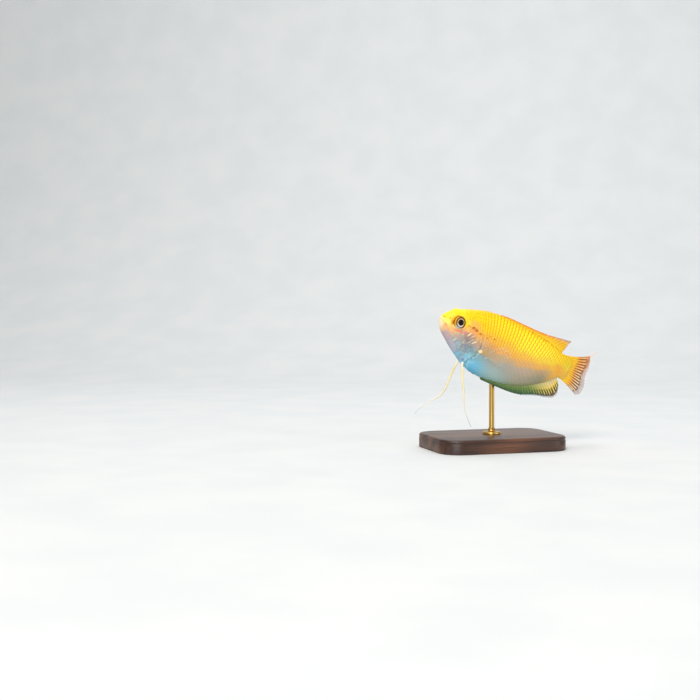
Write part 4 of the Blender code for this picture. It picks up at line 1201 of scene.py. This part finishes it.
def build_pectoral_fins(sizes):
    """The clear fan-shaped breast fins with their fleshy roots."""
    stops = ((0.0, "#F0C080"), (0.25, "#E8BC84"), (0.6, "#E4C494"), (1.0, "#D8CCB0"))
    ray_stops = ((0.0, "#F8C878"), (0.5, "#F6D09C"), (1.0, "#F0DCC0"))
    skin_paint = fin_material("clear_pectoral_membrane", stops, stops, sizes.clear_alpha)
    ray_paint = fin_material("pectoral_painted_rays", ray_stops, ray_stops, sizes.clear_ray_alpha)
    for side, name in ((-1, "pectoral_fin_left"), (1, "pectoral_fin_right")):
        x, z = PECTORAL_ROOT
        step = 0.5
        skin = np.array((x, side * skin_half(x, z), z))
        slope_x = (skin_half(x + step, z) - skin_half(x - step, z)) / (2 * step)
        slope_z = (skin_half(x, z + step) - skin_half(x, z - step)) / (2 * step)
        out = Vector((-slope_x, side, -slope_z)).normalized()
        back = Vector((1, 0, 0))
        back = (back - out * back.dot(out)).normalized()
        up = out.cross(back) * (1 if out.cross(back).z > 0 else -1)
        lean = PECTORAL_SPREAD[0 if side < 0 else 1]
        ahead = np.array(back * math.cos(lean) + out * math.sin(lean))
        face = np.array((out * math.cos(lean) - back * math.sin(lean)).normalized())
        up = np.array(up)
        root = skin + np.array(out) * 0.12

        def base(share):
            return root + up * (PECTORAL_ROOT_WIDTH * (0.5 - share))[..., None] * 0.55

        def edge(share):
            turn = (PECTORAL_LIFT + PECTORAL_FAN * (0.5 - share))[..., None]
            rounding = 0.80 + 0.20 * np.sin(math.pi * np.minimum(1.0, share * 1.15))
            length = PECTORAL_LENGTH * rounding[..., None]
            return base(share) + (ahead * np.cos(turn) + up * np.sin(turn)) * (length * 0.98 + 0.4)

        fin = Fin(base, edge, 10, face=face, notch=0.03, jointed=0.03)
        dress_fin(fin, name, skin_paint, ray_paint, 0.045, 0.07, rows=26)
        pad = fleshy_root(name + "_root", root, np.array(out), ahead, up)
        settle(name + "_root", pad, fleshy_material(), "fish_skin")


def fleshy_root(name, root, out, ahead, up):
    """A soft oval pad that carries a breast fin's rays."""
    turns = np.linspace(0, math.pi, 13)
    points, faces = turned_mesh([(math.sin(t), 0.06 - 0.32 * math.cos(t)) for t in turns], 20)
    return new_mesh(name, to_world(root + points @ np.array((up * 0.48, ahead, out * 0.2))), faces)


# Eyes and feelers


def build_eyes():
    """Each eye: a painted ball with a flat pupil, under a clear dome."""
    paint, clear = eye_material(), cornea_material()
    steps = np.linspace(0, 1, 30)
    shape = [(0.0, 0.40)]
    shape += [(EYE_RADIUS * s, 0.40 + 0.10 * float(ease(0.36, 0.5, s))) for s in steps[1:16]]
    shape += [(EYE_RADIUS * s, 0.50 * math.sqrt(max(0.0, 1 - ((s - 0.5) / 0.5) ** 2.6))) for s in steps[16:]]
    shape += [(EYE_RADIUS * math.cos(t), -1.0 * math.sin(t)) for t in np.linspace(0.1, math.pi / 2 - 0.1, 8)]
    shape += [(0.0, -1.0)]
    dome = [(0.0, EYE_OUTER_DEPTH)]
    dome += [(1.62 * math.sin(t), EYE_OUTER_DEPTH * math.cos(t)) for t in np.linspace(0.12, 1.35, 16)]
    dome += [(1.52 * math.sin(t), 0.64 * math.cos(t)) for t in np.linspace(1.35, 0.12, 16)]
    dome += [(0.0, 0.64)]
    for side, name in ((-1, "eye_left"), (1, "eye_right")):
        centre = np.array((EYE_CENTRE[0], side * EYE_CENTRE[1], EYE_CENTRE[2]))
        turn = np.array(Matrix.Rotation(-side * EYE_TURN, 3, "Z"))
        for label, profile, finish_paint in (("ball", shape, paint), ("cornea", dome, clear)):
            points, faces = turned_mesh(profile, 64)
            radial = np.hypot(points[:, 0], points[:, 2])
            out = np.where(points[:, 1] > 0, radial / EYE_RADIUS, 1.0)
            place = np.c_[out, points[:, 0] / EYE_RADIUS, points[:, 2] / EYE_RADIUS]
            points[:, 1] *= side
            mesh = new_mesh(f"{name}_{label}", to_world(centre + points @ turn.T), faces, place=place)
            settle(f"{name}_{label}", mesh, finish_paint, "eye", *((name,) if label == "ball" else ()))


def build_feelers():
    """The two thread-like pelvic fins, jointed and tapering, each from a small fleshy root."""
    paint = feeler_material()
    for name, points in FEELERS.items():
        steps = np.linspace(0, 1, 150)
        line = smooth_path(pitched_to_body(points))(steps)
        radii = (0.3 - 0.19 * ease(0.3, 1.0, steps)) * (1 + 0.012 * np.sin(steps * 260))
        radii += 0.1 * np.exp(-steps * 30)
        place = np.stack([0 * steps, steps, 0 * steps], -1)
        mesh = swept(name, [(line, radii)], paint, 12, [place])
        settle(name + "_thread", mesh, paint, "feeler", name)


# Stand and stage


def build_base(colours):
    """The walnut base with a shallow groove under its rounded upper edge."""
    low, high = (np.array(v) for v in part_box("stand_base"))
    half, middle = (high - low) / 2, (high + low) / 2
    profile = [(0.25, 0.0), (0.0, 0.25), (0.0, 2.75), (0.12, 2.95), (0.12, 3.1), (0.0, 3.25)]
    turns = np.linspace(0.15, math.pi / 2, 8)
    profile += [(BASE_ROUNDING * (1 - math.cos(t)), 3.25 + BASE_ROUNDING * math.sin(t)) for t in turns]
    rings = []
    for inset, height in profile:
        radius = BASE_CORNER - inset
        for quarter, (sx, sy) in enumerate(((1, 1), (-1, 1), (-1, -1), (1, -1))):
            for k in range(CORNER_POINTS):
                a = math.pi / 2 * (quarter + k / (CORNER_POINTS - 1))
                rings.append((
                    middle[0] + sx * (half[0] - BASE_CORNER * MM) + radius * math.cos(a) * MM,
                    middle[1] + sy * (half[1] - BASE_CORNER * MM) + radius * math.sin(a) * MM,
                    low[2] + height * MM,
                ))
    mesh = new_mesh("stand_base_walnut", rings, tube_faces(len(profile), 4 * CORNER_POINTS))
    settle("stand_base_walnut", mesh, wood_material(colours), "stand_wood", "stand_base")
    mesh.set_sharp_from_angle(angle=math.radians(32))
    return high[2]


def build_rod(colours, floor):
    """The turned brass rod on its foot, up to where it meets the fish's skin."""
    top = max(v.co.z for v in bpy.data.objects["stand_rod"].data.vertices)
    start = floor - 0.02 * MM
    foot = [(2.45, 0.0), (2.6, 0.12), (2.6, 0.5), (2.5, 0.66), (2.3, 0.74), (1.5, 0.86), (1.15, 1.0)]
    foot += [(1.0, 1.25), (1.12, 1.42), (1.0, 1.6), (0.8, 1.75), (ROD_RADIUS, 2.1)]
    turns = [2 * math.pi * j / ROD_SIDES for j in range(ROD_SIDES)]
    points = [(r * MM * math.cos(a), r * MM * math.sin(a), start + z * MM) for r, z in foot for a in turns]
    skin = bpy.data.objects["fish_skin"]
    for a in turns:
        x, y = ROD_RADIUS * MM * math.cos(a), ROD_RADIUS * MM * math.sin(a)
        hit, spot, _, _ = skin.ray_cast(Vector((x, y, start + 3 * MM)), Vector((0, 0, 1)))
        points.append((x, y, (spot.z if hit else top) + 0.12 * MM))
    mesh = new_mesh("stand_rod_brass", points, tube_faces(len(foot) + 1, ROD_SIDES))
    settle("stand_rod_brass", mesh, brass_material(colours), "stand_rod", "stand_rod")
    mesh.set_sharp_from_angle(angle=math.radians(35))


def camera_axes(azimuth, elevation):
    """Which way is right, up and ahead for a camera that looks in from there."""
    ahead = Vector((
        -math.sin(azimuth) * math.cos(elevation),
        math.cos(azimuth) * math.cos(elevation),
        -math.sin(elevation),
    ))
    right = ahead.cross(Vector((0, 0, 1))).normalized()
    return right, right.cross(ahead), ahead


def build_camera():
    """A camera that sees the fish from the photo's side, with the fish as far off the middle."""
    right, up, ahead = camera_axes(VIEW_AZIMUTH, VIEW_ELEVATION)
    across, down = (FISH_PIXEL[0] - SNOUT_PIXEL[0]), (FISH_PIXEL[1] - SNOUT_PIXEL[1])
    target = SNOUT_AT + (right * across - up * down) * MM_PER_PIXEL * MM
    centre = IMAGE_SIZE / 2
    turn = math.atan((FISH_PIXEL[0] - centre) / FOCAL_PIXELS)
    tilt = math.atan((FISH_PIXEL[1] - centre) / FOCAL_PIXELS)
    eye_right, eye_up, eye_ahead = camera_axes(VIEW_AZIMUTH + turn, VIEW_ELEVATION - tilt)
    depth = MM_PER_PIXEL * FOCAL_PIXELS * MM
    place = target - ahead * depth / ahead.dot(eye_ahead)
    data = bpy.data.cameras.new("photo_view")
    data.sensor_width = SENSOR_MM
    data.lens = FOCAL_PIXELS / IMAGE_SIZE * SENSOR_MM
    data.clip_start = 0.01
    data.clip_end = 20
    camera = new_object("photo_view", data)
    turned = Matrix((eye_right, eye_up, -eye_ahead)).transposed().to_4x4()
    camera.matrix_world = Matrix.Translation(place) @ turned
    bpy.context.scene.camera = camera


def build_stage_pieces():
    """A pale floor that curves up into a backdrop, soft studio lights and an even sky."""
    wide, near, far, tall, bend = 1.6, -1.2, 0.55, 1.1, 0.3
    profile = [(near, 0.0), (far - bend, 0.0)]
    turns = np.linspace(0.05, math.pi / 2, 24)
    profile += [(far - bend + bend * math.sin(t), bend * (1 - math.cos(t))) for t in turns]
    profile += [(far, tall)]
    turn = Matrix.Rotation(VIEW_AZIMUTH, 4, "Z")
    points = [turn @ Vector((x, y, z)) for y, z in profile for x in (-wide, wide)]
    faces = [(2 * i, 2 * i + 1, 2 * i + 3, 2 * i + 2) for i in range(len(profile) - 1)]
    mesh = new_mesh("studio_sweep", np.array([tuple(p) for p in points]), faces)
    made, tree = new_material("matt_paper_sweep", 0.85)
    where = add(tree, "ShaderNodeTexCoord", output="Object")
    noise = add(tree, "ShaderNodeTexNoise", {"Vector": where, "Scale": 40.0})
    finish(made, noise.ramp(((0.3, "#D9DCDD"), (0.7, "#DEE0E0"))))
    new_object("studio_sweep", mesh, made)
    lights = (
        ("key_light", (-0.35, -0.45, 0.55), 0.35, 3.5, "#FFF8EE"),
        ("fill_light", (0.55, -0.5, 0.3), 0.5, 1.2, "#EEF4FF"),
        ("top_light", (0.05, 0.15, 0.6), 0.4, 2.0, "#FFFFFF"),
        ("low_light", (-0.3, -0.5, 0.05), 0.3, 0.9, "#F4F8FF"),
    )
    for name, place, size, power, code in lights:
        data = bpy.data.lights.new(name, "AREA")
        data.size = size
        data.energy = power
        data.color = linear(code)[:3]
        lamp = new_object(name, data)
        lamp.location = place
        aim = Vector((0, 0, 0.025)) - Vector(place)
        lamp.rotation_euler = aim.to_track_quat("-Z", "Y").to_euler()
    world = bpy.data.worlds.new("even_sky")
    world.use_nodes = True
    light = world.node_tree.nodes["Background"].inputs
    light["Color"].default_value, light["Strength"].default_value = linear("#E6EAEE"), 0.42
    bpy.context.scene.world = world
    bpy.context.scene.view_settings.view_transform = "Standard"


# The add-on


def number_property(name, description, value, **settings):
    return FloatProperty(name=name, description=description, default=value, **settings)


def opacity_property(name, description, value):
    return number_property(name, description, value, subtype="FACTOR")


def colour_property(name, description, code):
    return FloatVectorProperty(
        name=name, description=description, default=linear(code)[:3], subtype="COLOR", size=3, min=0, max=1,
    )


class GouramiSizes(bpy.types.PropertyGroup):
    """Sizes and finishes that a user may change."""

    head_rings: IntProperty(name="Head rings", description="Rings of the skin over the head", default=118)
    body_rings: IntProperty(name="Body rings", description="Rings of the skin behind the head", default=96)
    sides: IntProperty(name="Sides", description="Points round each ring of the skin", default=208)
    skin_depth: number_property("Skin depth", "How far the skin lies under the scales, mm", 0.07)
    lip_fullness: number_property("Lip fullness", "How far the lips stand out, mm", 0.13)
    gill_lift: number_property("Gill cover lift", "How far the gill cover's edge lifts, mm", 0.12)
    scale_spacing: number_property(
        "Scale spacing", "Distance from one scale to the next along the flank", 0.00094,
        precision=5, unit="LENGTH",
    )
    scale_tallness: number_property("Scale tallness", "Height of a scale's bare part over its length", 1.35)
    scale_lift: number_property(
        "Scale lift", "How far a scale's middle stands off the skin", 0.00002, precision=6, unit="LENGTH",
    )
    scale_unevenness: number_property("Scale unevenness", "Spread of the scales' sizes", 0.06)
    membrane_alpha: opacity_property("Membrane opacity", "Opacity of the tinted fins", 0.93)
    margin_alpha: opacity_property("Margin opacity", "Opacity of the clear margins of the fins", 0.34)
    clear_alpha: opacity_property("Clear fin opacity", "Opacity of the breast fins", 0.04)
    clear_ray_alpha: opacity_property("Clear ray opacity", "Opacity of the breast fins' rays", 0.4)


class GouramiColours(bpy.types.PropertyGroup):
    """Colours that a user may change."""

    upper_rim: colour_property("Upper scale rim", "Rim of a scale on the back and the upper flank", "#E28C04")
    lower_rim: colour_property("Lower scale rim", "Rim of a scale on the lower flank and belly", "#7A7E7C")
    wood_dark: colour_property("Dark wood", "Dark grain of the stand's base", "#2C170D")
    wood_light: colour_property("Light wood", "Light grain of the stand's base", "#74482B")
    brass: colour_property("Brass", "Metal of the stand's rod", "#C8A156")


class GOURAMI_OT_skin(bpy.types.Operator):
    """Make the skin that covers head, trunk and tail stalk"""

    bl_idname = "gourami.skin"
    bl_label = "Skin"

    def execute(self, context):
        build_skin(context.scene.gourami_sizes)
        return {"FINISHED"}


class GOURAMI_OT_scales(bpy.types.Operator):
    """Lay the scales over both sides"""

    bl_idname = "gourami.scales"
    bl_label = "Scales"

    def execute(self, context):
        sizes = context.scene.gourami_sizes
        material = scale_material(context.scene.gourami_colours)
        tree = scale_tree(material)
        plate = scale_plate()
        for side, name in ((-1, "scales_left"), (1, "scales_right")):
            build_scales(sizes, side, name, material, tree, plate)
        bpy.data.objects.remove(plate)
        return {"FINISHED"}


class GOURAMI_OT_eyes(bpy.types.Operator):
    """Make both eyes"""

    bl_idname = "gourami.eyes"
    bl_label = "Eyes"

    def execute(self, context):
        build_eyes()
        return {"FINISHED"}


class GOURAMI_OT_fins(bpy.types.Operator):
    """Make the dorsal, anal and tail fins"""

    bl_idname = "gourami.fins"
    bl_label = "Median fins"

    def execute(self, context):
        build_median_fins(context.scene.gourami_sizes)
        build_caudal_fin(context.scene.gourami_sizes)
        return {"FINISHED"}


class GOURAMI_OT_breast_fins(bpy.types.Operator):
    """Make the clear breast fins"""

    bl_idname = "gourami.breast_fins"
    bl_label = "Breast fins"

    def execute(self, context):
        build_pectoral_fins(context.scene.gourami_sizes)
        return {"FINISHED"}


class GOURAMI_OT_feelers(bpy.types.Operator):
    """Make the thread-like feelers"""

    bl_idname = "gourami.feelers"
    bl_label = "Feelers"

    def execute(self, context):
        build_feelers()
        return {"FINISHED"}


class GOURAMI_OT_stand(bpy.types.Operator):
    """Make the display stand"""

    bl_idname = "gourami.stand"
    bl_label = "Stand"

    def execute(self, context):
        colours = context.scene.gourami_colours
        build_rod(colours, build_base(colours))
        return {"FINISHED"}


class GOURAMI_OT_stage(bpy.types.Operator):
    """Set the camera, the floor and the lights"""

    bl_idname = "gourami.stage"
    bl_label = "Stage"

    def execute(self, context):
        build_camera()
        build_stage_pieces()
        return {"FINISHED"}


OPERATORS = (
    GOURAMI_OT_stage, GOURAMI_OT_skin, GOURAMI_OT_scales, GOURAMI_OT_eyes, GOURAMI_OT_fins,
    GOURAMI_OT_breast_fins, GOURAMI_OT_feelers, GOURAMI_OT_stand,
)


class GOURAMI_PT_panel(bpy.types.Panel):
    """Lists the model's pieces in the sidebar"""

    bl_idname = "GOURAMI_PT_panel"
    bl_label = "Honey gourami"
    bl_space_type = "VIEW_3D"
    bl_region_type = "UI"
    bl_category = "Gourami"

    def draw(self, context):
        for operator in OPERATORS:
            self.layout.operator(operator.bl_idname)
        for group, held in ((GouramiSizes, "gourami_sizes"), (GouramiColours, "gourami_colours")):
            for name in group.__annotations__:
                self.layout.prop(getattr(context.scene, held), name)


CLASSES = (GouramiSizes, GouramiColours, *OPERATORS, GOURAMI_PT_panel)


def register():
    for kind in CLASSES:
        bpy.utils.register_class(kind)
    bpy.types.Scene.gourami_sizes = PointerProperty(type=GouramiSizes)
    bpy.types.Scene.gourami_colours = PointerProperty(type=GouramiColours)


def unregister():
    del bpy.types.Scene.gourami_sizes
    del bpy.types.Scene.gourami_colours
    for kind in reversed(CLASSES):
        bpy.utils.unregister_class(kind)


def main():
    register()
    for operator in OPERATORS:
        group, name = operator.bl_idname.split(".")
        getattr(getattr(bpy.ops, group), name)()


if __name__ == "__main__":
    main()
